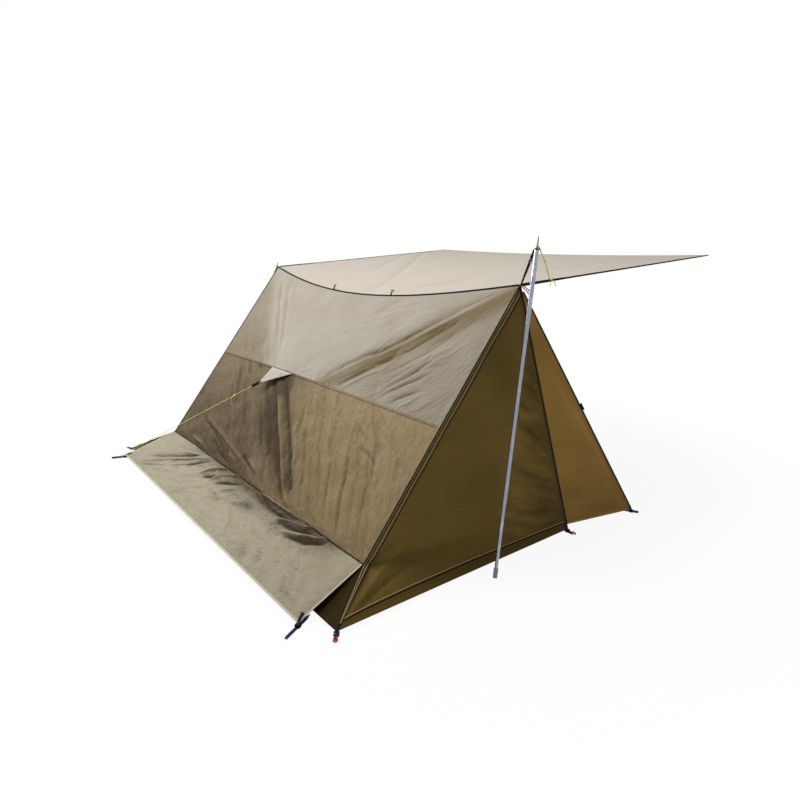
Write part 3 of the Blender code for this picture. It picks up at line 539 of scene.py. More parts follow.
tube_metal = metal("anodised_aluminium_tube", "8A8F9E", "C2C5CC", 0.24)
peg_metal = metal("anodised_aluminium_peg", "2F3A5C", "7F8494", 0.38)
spike_metal = metal("turned_steel_spike", "38505C", "6E8088", 0.30)
rubber_foot = moulded("moulded_nylon_foot", "6F747E", 0.5, "8A8F98")
toggle_plastic = moulded("moulded_nylon_toggle", "181A1F", 0.45, "2A2D33")
buckle_plastic = moulded("moulded_nylon_buckle", "8C8F94", 0.35, "A8ABB0")
print("hard finishes:", tube_metal.name, peg_metal.name, spike_metal.name, rubber_foot.name)

# %% [markdown]
# ## How the cloth is made
#
# A cloth simulation could settle these panels, but the real ones are held taut by their
# seams, and each crease runs where a peg or a cord pulls. So every panel is a surface in
# code, place(u, v), cut into a fine grid. Soft waves and creases then move it along its
# normal. A crease is a line read off the photograph, in metres on the panel, with a width
# and a height. The grid gets its thickness last, and a UV map in metres for the weave.

# %% Surface, mesh and crease helpers
# Coated cloth changes its sheen where it turns, and this is painted into its shade:
# ridges and faces turned up or left are painted paler, valleys darker. These say how much
# of the painted shade a metre and a slope are worth.
RELIEF_PAINTED_SHADE = 28.0
TILT_PAINTED_SHADE = 0.50
# A slope down the cloth changes the painted shade less than one across it, by this share.
DOWNWARD = 0.6
# panel() works out a sheet's area as no less than this share of its width by its length.
LEAST_AREA = 0.301
# Crests and valleys are rounded over this length.
CREASE_ROUNDING = 0.003


def step_lengths(route):
    return np.linalg.norm(np.diff(route, axis=0), axis=1)


def route_length(route):
    return float(step_lengths(route).sum())


def reached(route):
    """How far along a route each of its points lies."""
    return np.concatenate([[0], np.cumsum(step_lengths(route))])


def collect(name, mesh, finish):
    """A mesh as an object of the scene, moved into the frame, smooth, in one finish."""
    mesh.transform(Matrix.Translation(in_frame))
    mesh.materials.clear()
    mesh.materials.append(finish)
    mesh.shade_smooth()
    piece = bpy.data.objects.new(name, mesh)
    bpy.context.scene.collection.objects.link(piece)
    return piece


def baked(piece):
    """Applies a piece's modifiers, so that it is a plain mesh."""
    bpy.context.view_layer.update()
    evaluated = piece.evaluated_get(bpy.context.evaluated_depsgraph_get())
    mesh = bpy.data.meshes.new_from_object(evaluated)
    old = piece.data
    piece.modifiers.clear()
    piece.data = mesh
    bpy.data.meshes.remove(old)
    mesh.name = piece.name
    return piece


def thickened(piece, thickness):
    solidify = piece.modifiers.new("thickness", "SOLIDIFY")
    solidify.thickness = thickness
    solidify.offset = 0
    return baked(piece)


def normals_of(points, outward):
    """Unit normals of a grid of points, on the side that outward points to."""
    normals = unit(np.cross(np.gradient(points, axis=1), np.gradient(points, axis=0)) + 1e-12)
    turned = np.sign((normals @ np.asarray(outward, float)).mean())
    return normals * turned, turned


def grid_mesh(name, points, along, up, flip):
    """Quads over a grid of points, with UVs in metres."""
    rows, columns = points.shape[:2]
    index = np.arange(rows * columns).reshape(rows, columns)
    corners = [index[:-1, :-1], index[:-1, 1:], index[1:, 1:], index[1:, :-1]]
    faces = np.stack(corners[::-1] if flip else corners, -1).reshape(-1, 4)
    mesh = bpy.data.meshes.new(name)
    mesh.from_pydata(points.reshape(-1, 3).tolist(), [], faces.tolist())
    layer = mesh.uv_layers.new(name="cloth")
    uvs = np.stack([along, up], -1).reshape(-1, 2)[faces.reshape(-1)]
    layer.uv.foreach_set("vector", uvs.astype(np.float32).ravel())
    return mesh


def panel(name, place, finish, outward, cell, heights, lift=0.0, part=(0, 1, 0, 1), thickness=CLOTH,
          shade=None):
    """Cloth over place(u, v), in part of its u and v, moved by heights and a lift, with its painted shade."""
    u_low, u_high, v_low, v_high = part
    low_edge = place(np.linspace(u_low, u_high, 50), np.full(50, v_low))
    middle = place(np.full(50, (u_low + u_high) / 2), np.linspace(v_low, v_high, 50))
    width, length = route_length(low_edge), route_length(middle)
    columns, rows = max(3, int(width / cell)), max(3, int(length / cell))
    u, v = np.meshgrid(np.linspace(u_low, u_high, columns + 1), np.linspace(v_low, v_high, rows + 1))
    points = place(u, v)
    normals, turned = normals_of(points, outward)
    relief = heights(points, u, v) + lift
    moved = points + normals * relief[..., None]
    cells = np.cross(points[1:, :-1] - points[:-1, :-1], points[:-1, 1:] - points[:-1, :-1])
    area = np.linalg.norm(cells, axis=-1).sum()
    wide = max(width, route_length(points[-1]))
    area = min(max(area, LEAST_AREA * wide * length), wide * length)
    along = (u - u.min()) / (u_high - u_low) * width
    up = (v - v.min()) / (v_high - v_low) * length
    mesh = grid_mesh(name, moved, along, up, turned < 0)
    values = np.ones(u.shape)
    if shade is not None:
        # Painted shade: the given shade, paler on ridges and on faces turned up or left, darker in valleys.
        turned_left = np.gradient(relief, axis=1) * columns / width
        turned_down = np.gradient(relief, axis=0) * rows / length
        tilt = turned_left - DOWNWARD * turned_down
        values = shade(points, u, v) + RELIEF_PAINTED_SHADE * relief + TILT_PAINTED_SHADE * tilt
    values = np.clip(values, 0, 1)
    shades = mesh.attributes.new("shade", "FLOAT", "POINT")
    shades.data.foreach_set("value", values.astype(np.float32).ravel())
    return thickened(collect(name, mesh, finish), thickness)


def edge_strip(place, heights, width):
    """A strip along the u = 0 edge of a panel, a fifth as wide at the ground: its place and heights."""
    def share(v):
        full = np.linalg.norm(place(np.ones_like(v), v) - place(np.zeros_like(v), v), axis=-1)
        return np.minimum(width * (0.2 + 0.8 * smooth(v / 0.12)) / np.maximum(full, 1e-6), 0.9)
    return (lambda u, v: place(u * share(v), v)), (lambda points, u, v: heights(points, u * share(v), v))


def ground_strip(place, heights):
    """A strip along the v = 0 edge of a side wall, which tapers to the rear peg: its place and heights."""
    def share(u):
        return 0.012 + 0.028 * np.sqrt(u)
    return (lambda u, v: place(u, v * share(u))), (lambda points, u, v: heights(points, u, v * share(u)))


def creases(a, b, lines, strength=1.0, finest=0.008):
    """Height of sharp creases over panel coordinates a and b, each (width, height, route)."""
    total = np.zeros(np.shape(a))
    for width, height, route in lines:
        width = max(width, finest)
        route = np.array(route, float)
        starts = reached(route)
        nearest = np.full(np.shape(a), 1e9)
        gone = np.zeros(np.shape(a))
        for start, way, step, before in zip(route, np.diff(route, axis=0), step_lengths(route), starts):
            run = way / step ** 2
            t = np.clip((a - start[0]) * run[0] + (b - start[1]) * run[1], 0, 1)
            away = (a - start[0] - t * way[0]) ** 2 + (b - start[1] - t * way[1]) ** 2
            closer = away < nearest
            nearest = np.where(closer, away, nearest)
            gone = np.where(closer, before + t * step, gone)
        # A crease is highest in its middle and dies away at its ends.
        taper = np.sin(np.pi * np.clip(gone / starts[-1] * 0.9 + 0.05, 0, 1)) ** 0.6
        distance = np.sqrt(nearest + CREASE_ROUNDING ** 2) - CREASE_ROUNDING
        total += height * strength * taper * np.exp(-distance / width)
    return total


def crinkles(seed, count, box, angle, spread, length, height, lowest=-1):
    """Fine seeded creases for a box of a panel: short bowed lines that run about one way.

    Their heights are between lowest and 1 times the height.
    """
    rng = np.random.default_rng(seed)
    lines = []
    for _ in range(count):
        middle = vec(rng.uniform(*box[:2]), rng.uniform(*box[2:]))
        turn = math.radians(angle + rng.uniform(-spread, spread))
        along = vec(math.cos(turn), math.sin(turn)) * rng.uniform(0.35, 1) * length / 2
        bow = vec(-along[1], along[0]) * rng.uniform(-0.25, 0.25)
        lines.append((rng.uniform(0.009, 0.014), height * rng.uniform(lowest, 1),
                      (middle - along, middle + bow, middle + along)))
    return lines


def waves(a, b, seed, height, longest=0.55, shortest=0.12, count=14):
    """Soft waves of the cloth: sines in seeded directions, the short ones lower."""
    rng = np.random.default_rng(seed)
    total = np.zeros(np.shape(a))
    for _ in range(count):
        length = math.exp(rng.uniform(math.log(shortest), math.log(longest)))
        angle, phase = rng.uniform(0, math.pi), rng.uniform(0, 2 * math.pi)
        turn = 2 * math.pi / length
        total += length / longest * np.sin(turn * (a * math.cos(angle) + b * math.sin(angle)) + phase)
    return total * height / math.sqrt(count)


def edge_fade(u, v, sides=0.04, bottom=0.05, top=0.05):
    """1 inside a panel and 0 at the edges that a share is given for."""
    fade = np.ones(np.shape(u))
    if sides:
        fade = fade * smooth(np.minimum(u, 1 - u) / sides)
    if bottom:
        fade = fade * smooth(v / bottom)
    if top:
        fade = fade * smooth((1 - v) / top)
    return fade


def declare(piece, body=None):
    """Attaches a piece to the body it rides on, if one is given."""
    if body:
        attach(piece, body)
    return piece


print("cloth helpers ready")

# %% [markdown]
# ## Cords, bindings and webbing
#
# A cord could be a bevelled curve. Here it is a tube mesh swept along a smooth route,
# because a braid needs a UV map that runs along the cord and round it. The same sweep,
# with an oval section, makes the bindings on the edges. Webbing is a flat strip with
# thickness, swept the same way and free to twist.

# %% Sweep helpers
STEPS_BETWEEN = 12


def smooth_route(points, count):
    """Catmull-Rom curve through the points, resampled to even steps."""
    points = np.array(points, float)
    padded = np.vstack([2 * points[0] - points[1], points, 2 * points[-1] - points[-2]])
    curve = []
    for i in range(1, len(padded) - 2):
        a, b, c, d = padded[i - 1:i + 3]
        for t in np.linspace(0, 1, STEPS_BETWEEN, endpoint=False):
            curve.append(0.5 * (2 * b + (c - a) * t + (2 * a - 5 * b + 4 * c - d) * t ** 2
                                + (3 * b - a - 3 * c + d) * t ** 3))
    curve = np.array(curve + [padded[-2]])
    gone = reached(curve)
    even = np.linspace(0, gone[-1], count)
    return np.stack([np.interp(even, gone, curve[:, k]) for k in range(3)], 1)


def frames_along(route, start_normal=None):
    """Tangents and two cross directions along a route that don't twist."""
    tangents = unit(np.gradient(route, axis=0))
    normal = np.array(start_normal if start_normal is not None else UP, float)
    if abs(normal @ tangents[0]) > 0.95 * np.linalg.norm(normal):
        normal = vec(1, 0, 0)
    normals = []
    for tangent in tangents:
        normal = normal - tangent * (normal @ tangent)
        normal = normal / np.linalg.norm(normal)
        normals.append(normal)
    normals = np.array(normals)
    return tangents, normals, np.cross(tangents, normals)


# One smaller ring just past each end of a cord rounds it off: how far past, and how small.
END_REACH = 0.4
END_SIZE = 0.6


def swept(name, route, finish, radius, sides=10, radius_two=None, start_normal=None):
    """A tube along a route, round or oval, with rounded ends and a UV map in metres."""
    route = np.array(route, float)
    tangents, one, two = frames_along(route, start_normal)
    first = np.broadcast_to(radius, len(route)).astype(float)
    second = np.broadcast_to(radius if radius_two is None else radius_two, len(route)).astype(float)
    route = np.vstack([route[0] - tangents[0] * first[0] * END_REACH, route,
                       route[-1] + tangents[-1] * first[-1] * END_REACH])
    one, two = np.vstack([one[:1], one, one[-1:]]), np.vstack([two[:1], two, two[-1:]])
    first = np.concatenate([first[:1] * END_SIZE, first, first[-1:] * END_SIZE])
    second = np.concatenate([second[:1] * END_SIZE, second, second[-1:] * END_SIZE])
    angle = np.linspace(0, 2 * np.pi, sides + 1)
    ring = (one[:, None] * (np.cos(angle)[None, :, None] * first[:, None, None])
            + two[:, None] * (np.sin(angle)[None, :, None] * second[:, None, None]))
    points = route[:, None] + ring
    across, along = np.meshgrid(angle * float(np.mean(first)), reached(route))
    mesh = grid_mesh(name, points, across, along, False)
    bm = bmesh.new()
    bm.from_mesh(mesh)
    bmesh.ops.remove_doubles(bm, verts=bm.verts, dist=1e-7)
    bmesh.ops.holes_fill(bm, edges=[e for e in bm.edges if e.is_boundary], sides=sides + 1)
    bmesh.ops.recalc_face_normals(bm, faces=bm.faces)
    bm.to_mesh(mesh)
    bm.free()
    return collect(name, mesh, finish)


def webbing(name, centres, across, width, finish, thickness, outward):
    """A woven strip along its centres, across gives the direction of its width."""
    centres, across = np.array(centres, float), unit(np.array(across, float))
    across = np.broadcast_to(across, centres.shape)
    width = np.broadcast_to(width, len(centres))
    share = np.linspace(-0.5, 0.5, 7)
    points = centres[:, None] + across[:, None] * (share[None, :, None] * width[:, None, None])
    gone = reached(centres)
    along, up = np.meshgrid(share * float(width.mean()), gone)
    _, turned = normals_of(points, outward)
    mesh = grid_mesh(name, points, along, up, turned < 0)
    return thickened(collect(name, mesh, finish), thickness)


print("sweep helpers ready")

# %% [markdown]
# ## Stitches
#
# Every seam on the tent is a run of lock stitches. A Geometry Nodes tree lays them:
# it spaces points along a curve and puts a short thread on each. The real pitch is 3 mm,
# and it is drawn as 8 mm here, the finest that shows from where the photograph was taken.

# %% Stitch tree
def make_stitch_tree():
    tree = bpy.data.node_groups.new("stitches", "GeometryNodeTree")
    sockets = {}
    for name, kind in (("Geometry", "NodeSocketGeometry"), ("Pitch", "NodeSocketFloat"),
                       ("Stitch length", "NodeSocketFloat"), ("Thread radius", "NodeSocketFloat"),
                       ("Thread", "NodeSocketMaterial")):
        sockets[name] = tree.interface.new_socket(name, in_out="INPUT", socket_type=kind).identifier
    tree.interface.new_socket("Geometry", in_out="OUTPUT", socket_type="NodeSocketGeometry")
    given = add(tree, "NodeGroupInput")
    spaced = add(tree, "GeometryNodeCurveToPoints", {"mode": "LENGTH"}, Curve=given.outputs["Geometry"],
                 Length=given.outputs["Pitch"])
    thread = add(tree, "GeometryNodeMeshCylinder", Vertices=6, Radius=given.outputs["Thread radius"],
                 Depth=given.outputs["Stitch length"])
    laid = add(tree, "GeometryNodeInstanceOnPoints", Points=spaced.outputs["Points"],
               Instance=thread.outputs["Mesh"], Rotation=spaced.outputs["Rotation"])
    real = add(tree, "GeometryNodeRealizeInstances", Geometry=laid.outputs["Instances"])
    dressed = add(tree, "GeometryNodeSetMaterial", Geometry=real.outputs["Geometry"],
                  Material=given.outputs["Thread"])
    end = add(tree, "NodeGroupOutput")
    tree.links.new(dressed.outputs["Geometry"], end.inputs[0])
    return tree, sockets


stitch_tree, stitch_sockets = make_stitch_tree()


STITCH_PITCH = 0.008
STITCH_LENGTH = 0.0055
THREAD_RADIUS = 0.0005


def stitches(name, rows, body, thread):
    """Rows of stitches, each a route of points in the frame, as one plain mesh on a body."""
    curve = bpy.data.curves.new(name, "CURVE")
    curve.dimensions = "3D"
    for row in rows:
        spline = curve.splines.new("POLY")
        spline.points.add(len(row) - 1)
        spline.points.foreach_set("co", np.hstack([row, np.ones((len(row), 1))]).ravel())
    holder = bpy.data.objects.new(name + "_route", curve)
    bpy.context.scene.collection.objects.link(holder)
    modifier = holder.modifiers.new("stitches", "NODES")
    modifier.node_group = stitch_tree
    for key, value in (("Pitch", STITCH_PITCH), ("Stitch length", STITCH_LENGTH),
                       ("Thread radius", THREAD_RADIUS), ("Thread", thread)):
        modifier[stitch_sockets[key]] = value
    bpy.context.view_layer.update()
    evaluated = holder.evaluated_get(bpy.context.evaluated_depsgraph_get())
    mesh = bpy.data.meshes.new_from_object(evaluated)
    mesh.name = name
    bpy.data.objects.remove(holder)
    piece = bpy.data.objects.new(name, mesh)
    bpy.context.scene.collection.objects.link(piece)
    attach(piece, body)
    print(name, len(rows), "rows,", len(mesh.polygons), "faces")
    return piece


def row_on(place, heights, outward, fixed, at, lift, count, low=0.0, high=1.0):
    """A route on a panel at a fixed u or v, lifted onto its outer face, in the frame."""
    run = np.linspace(low, high, count)
    # Its two neighbours, this share away, tell which way the cloth faces.
    step = 0.004
    at = min(1 - step, max(step, at))
    grids = []
    for offset in (-step, 0, step):
        line = np.full(count, at + offset)
        grids.append((line, run) if fixed == "u" else (run, line))
    u, v = np.array([g[0] for g in grids]), np.array([g[1] for g in grids])
    points = place(u, v)
    normals, _ = normals_of(points, outward)
    moved = points + normals * (heights(points, u, v) + lift)[..., None]
    return moved[1] + in_frame


print("stitch tree inputs:", list(stitch_sockets))

# %% [markdown]
# ## Surfaces of the tent
#
# The rear wall is two panels that meet at a level seam. A tie-out in the middle of that
# seam is pulled by a guy line, so the cloth around it stands 45 mm out of the wall. That
# pull is a field over the whole wall: full at the tie-out, fading to the corner lines,
# the ridge and the flap's seam. Its bends are rounded, as cloth under tension bends.

# %% Rear wall, flap and band
# The fold over the wall's seam, and the length of each panel up the slope.
SEAM_FOLD = 0.014
PANEL_LENGTH = 0.7
# The side wall's cloth and the wing's end this far from the line that the wing turns on.
SIDE_INSET = 0.0047
WING_INSET = 0.0046
# The height at which the wing starts there, the share of the way up at which it ends, and
# the height of the side wall's top.
WING_FOOT_HEIGHT = 0.045
WING_TOP = 0.975
SIDE_TOP = PEAK_HEIGHT * 0.9955


def rear_row(corner, across, inset=CORNER_INSET):
    """Level row of the rear wall that ends at the corner lines."""
    across = np.asarray(across, float)
    return np.stack([across * (corner[0] - inset), across * 0 + corner[1], across * 0 + corner[2]], -1)


def pulled(points, over):
    """The tie-out's pull. over runs from 0 at the seam to 1 at the ridge, or -1 at the flap."""
    over = np.asarray(over, float)
    edge = rear_edge(points[..., 2])[..., 0]
    rise = np.maximum(over, 0)
    left = TIEOUT[0] + (-edge - TIEOUT[0]) * rise
    right_end = TIEOUT[1] + (edge - TIEOUT[1]) * rise
    up_left = (points[..., 0] + edge) / np.maximum(left + edge, 0.01)
    up_right = (edge - points[..., 0]) / np.maximum(edge - right_end, 0.01)
    # The least of the two and 1, rounded off where they meet.
    soft = 0.05
    least = -soft * np.log(np.exp(-np.clip(up_left, 0, 3) / soft) + np.exp(-np.clip(up_right, 0, 3) / soft)
                           + math.exp(-1 / soft))
    reach = np.clip(least, 0, 1) * (1 - np.abs(over))
    return points + WALL_OUT * (TIEOUT_PULL * reach)[..., None]


WALL_SEAM_CORNER = rear_edge(WALL_SEAM_HEIGHT)


def upper_wall(u, v):
    across = 2 * u - 1
    low = rear_row(WALL_SEAM_CORNER, across) + WALL_UP * SEAM_GAP / 2
    high = ridge(across)
    high[..., 0] -= across * CORNER_INSET
    high = high + unit(low - high) * UNDER_BINDING
    return pulled(between(low, high, v), v)


def lower_wall(u, v):
    across = 2 * u - 1
    low = rear_row(SEAM_CORNER, across) + WALL_UP * SEAM_GAP / 2
    high = rear_row(WALL_SEAM_CORNER, across) - WALL_UP * SEAM_GAP / 2
    return pulled(between(low, high, v), v - 1)


def wall_seam(u, v):
    """The fold of cloth that covers the seam between the two panels."""
    step = (np.asarray(v) - 0.5) * SEAM_FOLD
    base = rear_row(WALL_SEAM_CORNER, 2 * u - 1)
    return pulled(base + WALL_UP * step[..., None], step / PANEL_LENGTH)


def ground_band(u, v):
    low = rear_row(REAR_PEG, 2 * u - 1)
    high = rear_row(SEAM_CORNER, 2 * u - 1) - WALL_UP * SEAM_GAP
    return between(low, high, v)


def flap(u, v):
    """The flap from its staked edge (v = 0) to its seam, just above the wall's and in front of it."""
    across = 2 * u - 1
    low = np.stack([across * FLAP_PEG[0], across * 0 + FLAP_PEG[1], across * 0 + FLAP_PEG[2]], -1)
    high = rear_row(SEAM_CORNER, across, 0) + WALL_UP * 0.006 + WALL_OUT * 0.0029
    return between(low, high, v)


print("wall seam is", round(2 * WALL_SEAM_CORNER[0], 3), "m wide")

# %% Side walls, wings and awning
def side_wall(side):
    """Side wall from the rear corner line (u = 0) to the front edge, v up to the peak."""
    def place(u, v):
        height = REAR_PEG[2] + np.asarray(v) * (SIDE_TOP - REAR_PEG[2])
        front = front_edge(height) - vec(0, SIDE_INSET, 0)
        return mirrored(between(rear_edge(height), front, u), side)
    return place


HINGE = unit(PEAK - vec(*FRONT_PEG))
WING_FOOT = vec(*WING_PEG) - vec(*FRONT_PEG)
WING_OUT = unit(WING_FOOT - HINGE * (WING_FOOT @ HINGE))
WING_EDGE = unit(PEAK - vec(*WING_PEG))
WING_FACE = vec(0.98, -0.13, 0.1)
FLAP_FACE = vec(0, -0.3, 1)


def wing_edge(share):
    """The wing's outer edge, from its peg towards the peak."""
    return between(vec(*WING_PEG), PEAK, share)


def wing(side):
    """Wing from the side wall's front edge (u = 0) to its own outer edge, v up."""
    def place(u, v):
        share = np.asarray(v) * WING_TOP
        start = between(front_edge(WING_FOOT_HEIGHT), PEAK, share) + WING_OUT * WING_INSET
        end = wing_edge(share)
        row = unit(end - start)
        end = end - row * (WING_INSET / np.linalg.norm(np.cross(row, WING_EDGE), axis=-1))[..., None]
        return mirrored(between(start, end, u), side)
    return place


def awning_at(across, out, inset=BINDING + 0.0004):
    """Point of the awning, across -1 to 1, out from 0 at the ridge to 1 at its front edge."""
    across, out = np.broadcast_arrays(np.asarray(across, float), np.asarray(out, float))
    low = ridge(across) + vec(0, UNDER_BINDING, 0)
    high = np.stack([across * AWNING_HALF, across * 0 + AWNING_REACH,
                     AWNING_HEIGHT - AWNING_SAG * (1 - across ** 2)], -1)
    points = between(low, high, out)
    points[..., 0] -= across * inset
    return points


def awning(u, v):
    return awning_at(2 * u - 1, v)


print("wing is", round(float(np.linalg.norm(WING_FOOT)), 3), "m wide at the ground")

# %% [markdown]
# ## Creases
#
# These lines were read off the photograph, panel by panel: width, height (below 0 for a
# valley) and route, in metres. On the rear wall a route is the distance along the ridge
# and the distance up from the flap's seam. On the flap it is the distance along the ridge
# and the distance out from that seam, on the side walls and wings the distance forward
# and the height, and on the awning the distances along the ridge and forward. Each call
# of crinkles adds fine lines: seed, count, box, direction and its spread in degrees,
# length and height.

# %% Crease lines
UPPER_CREASES = (
    (0.006, -0.006, ((-0.454, 0.73), (-0.573, 0.858), (-0.736, 1.027), (-0.909, 1.208), (-1.051, 1.375))),
    (0.01, 0.005, ((-0.421, 0.745), (-0.597, 0.949), (-0.763, 1.122), (-0.978, 1.358))),
    (0.006, -0.003, ((-0.443, 0.787), (-0.615, 1.004), (-0.853, 1.285), (-0.94, 1.382))),
    (0.008, -0.004, ((-0.515, 0.747), (-0.563, 0.803), (-0.68, 0.937))),
    (0.006, -0.004, ((-0.567, 0.747), (-0.632, 0.811), (-0.71, 0.894))),
    (0.006, 0.003, ((-0.636, 0.753), (-0.701, 0.809), (-0.792, 0.862))),
    (0.006, -0.003, ((-0.721, 0.748), (-0.796, 0.803))),
    (0.006, -0.003, ((-0.809, 0.752), (-0.887, 0.808))),
    (0.005, 0.003, ((-0.855, 0.734), (-0.913, 0.774))),
    (0.02, -0.012, ((0.137, 0.743), (0.264, 0.852), (0.412, 0.953), (0.519, 1.007), (0.637, 1.092),
        (0.747, 1.177), (0.853, 1.258), (0.954, 1.337), (1.058, 1.403), (1.147, 1.459))),
    (0.015, 0.006, ((0.549, 0.972), (0.664, 1.057), (0.775, 1.139), (0.88, 1.22), (0.98, 1.299),
        (1.078, 1.371))),
    (0.01, -0.006, ((0.58, 0.934), (0.671, 0.993), (0.76, 1.047), (0.834, 1.116), (0.906, 1.183),
        (0.98, 1.243))),
    (0.01, -0.007, ((0.339, 0.745), (0.455, 0.838), (0.554, 0.917), (0.675, 0.983))),
    (0.008, 0.005, ((0.377, 0.73), (0.515, 0.835), (0.656, 0.921))),
    (0.009, -0.004, ((0.677, 0.884), (0.783, 0.962), (0.888, 1.043), (0.955, 1.115), (1.014, 1.204))),
    (0.009, -0.005, ((0.735, 0.813), (0.81, 0.873), (0.886, 0.937), (0.952, 1.011))),
    (0.008, -0.006, ((0.733, 0.75), (0.782, 0.799), (0.863, 0.859), (0.945, 0.913), (0.985, 0.945))),
    (0.007, -0.006, ((0.836, 0.743), (0.897, 0.794), (0.955, 0.825), (0.995, 0.846))),
    (0.005, 0.004, ((0.902, 0.735), (0.946, 0.763), (0.966, 0.78))),
    (0.006, -0.002, ((0.276, 1.299), (0.404, 1.326), (0.547, 1.36))),
    (0.006, -0.002, ((0.321, 1.245), (0.485, 1.284), (0.63, 1.333))),
    (0.006, -0.002, ((0.241, 1.15), (0.373, 1.199), (0.469, 1.242))),
    (0.01, 0.003, ((0.066, 1.01), (0.304, 1.078), (0.471, 1.148))),
    (0.006, 0.003, ((-0.121, 0.749), (-0.063, 0.777), (-0.011, 0.796))),
)
LOWER_CREASES = (
    (0.018, 0.016, ((-0.27, 0.624), (-0.08, 0.481), (0.071, 0.359), (0.211, 0.245), (0.37, 0.112),
        (0.5, 0.017))),
    (0.014, -0.012, ((-0.325, 0.63), (-0.134, 0.468), (0.014, 0.343), (0.152, 0.227), (0.291, 0.121),
        (0.426, 0.025))),
    (0.012, -0.012, ((-0.244, 0.664), (-0.092, 0.561), (0.131, 0.375), (0.268, 0.262), (0.451, 0.104))),
    (0.01, -0.006, ((0.299, 0.401), (0.449, 0.241), (0.548, 0.11), (0.598, 0.049))),
    (0.008, 0.003, ((0.132, 0.696), (0.281, 0.538), (0.423, 0.359))),
    (0.006, -0.003, ((0.215, 0.705), (0.376, 0.562))),
    (0.005, -0.003, ((0.365, 0.701), (0.489, 0.591), (0.544, 0.546))),
    (0.005, 0.003, ((0.291, 0.703), (0.425, 0.592))),
    (0.009, -0.005, ((0.511, 0.344), (0.633, 0.22), (0.732, 0.1))),
    (0.009, -0.006, ((0.654, 0.323), (0.721, 0.211), (0.828, 0.061))),
    (0.01, -0.008, ((0.765, 0.382), (0.818, 0.283), (0.869, 0.188), (0.978, 0.027))),
    (0.008, 0.006, ((0.82, 0.208), (0.96, 0.027))),
    (0.01, -0.004, ((0.987, 0.305), (1.048, 0.183), (1.137, 0.045))),
    (0.008, -0.003, ((0.892, 0.309), (0.965, 0.187), (1.058, 0.046))),
    (0.006, -0.004, ((0.709, 0.712), (0.782, 0.625), (0.882, 0.534), (0.961, 0.466))),
    (0.007, 0.004, ((0.766, 0.701), (0.877, 0.649), (0.941, 0.612), (1.002, 0.576))),
    (0.006, -0.003, ((0.907, 0.572), (0.992, 0.536), (1.037, 0.519))),
    (0.006, -0.005, ((0.802, 0.464), (0.89, 0.444), (0.975, 0.411))),
    (0.006, 0.004, ((0.631, 0.602), (0.744, 0.558), (0.806, 0.528))),
    (0.004, 0.003, ((0.613, 0.664), (0.674, 0.638))),
    (0.008, -0.005, ((-0.913, 0.19), (-0.709, 0.152), (-0.557, 0.114), (-0.456, 0.083))),
    (0.008, 0.004, ((-0.85, 0.207), (-0.513, 0.153), (-0.316, 0.116), (-0.089, 0.072))),
    (0.008, 0.006, ((-0.922, 0.046), (-0.757, 0.038), (-0.665, 0.011))),
    (0.007, -0.004, ((-0.614, 0.098), (-0.442, 0.044), (-0.259, 0.018))),
    (0.006, 0.004, ((-0.344, 0.082), (-0.227, 0.061))),
    (0.008, -0.006, ((-0.159, 0.115), (-0.029, 0.076), (0.059, 0.043))),
    (0.006, 0.004, ((-0.108, 0.114), (-0.008, 0.098), (0.066, 0.076))),
    (0.008, -0.003, ((-0.677, 0.334), (-0.528, 0.193), (-0.437, 0.131))),
    (0.007, -0.005, ((-0.916, 0.704), (-0.85, 0.627), (-0.762, 0.52), (-0.64, 0.38), (-0.574, 0.314))),
    (0.006, 0.004, ((-0.838, 0.688), (-0.735, 0.621), (-0.672, 0.539))),
    (0.006, -0.005, ((-0.81, 0.712), (-0.686, 0.611))),
    (0.005, 0.003, ((-0.735, 0.697), (-0.634, 0.622))),
    (0.006, -0.004, ((-0.659, 0.711), (-0.558, 0.655))),
    (0.012, -0.006, ((-0.335, 0.453), (-0.151, 0.297), (0.003, 0.181), (0.114, 0.1))),
    (0.012, -0.005, ((-0.635, 0.51), (-0.491, 0.38), (-0.339, 0.245))),
    (0.01, 0.004, ((-0.496, 0.486), (-0.315, 0.337), (-0.162, 0.212))),
    (0.012, -0.007, ((-0.383, 0.565), (-0.151, 0.38), (0.07, 0.201), (0.25, 0.07))),
    (0.01, 0.004, ((-0.321, 0.569), (-0.103, 0.393), (0.12, 0.217))),
)
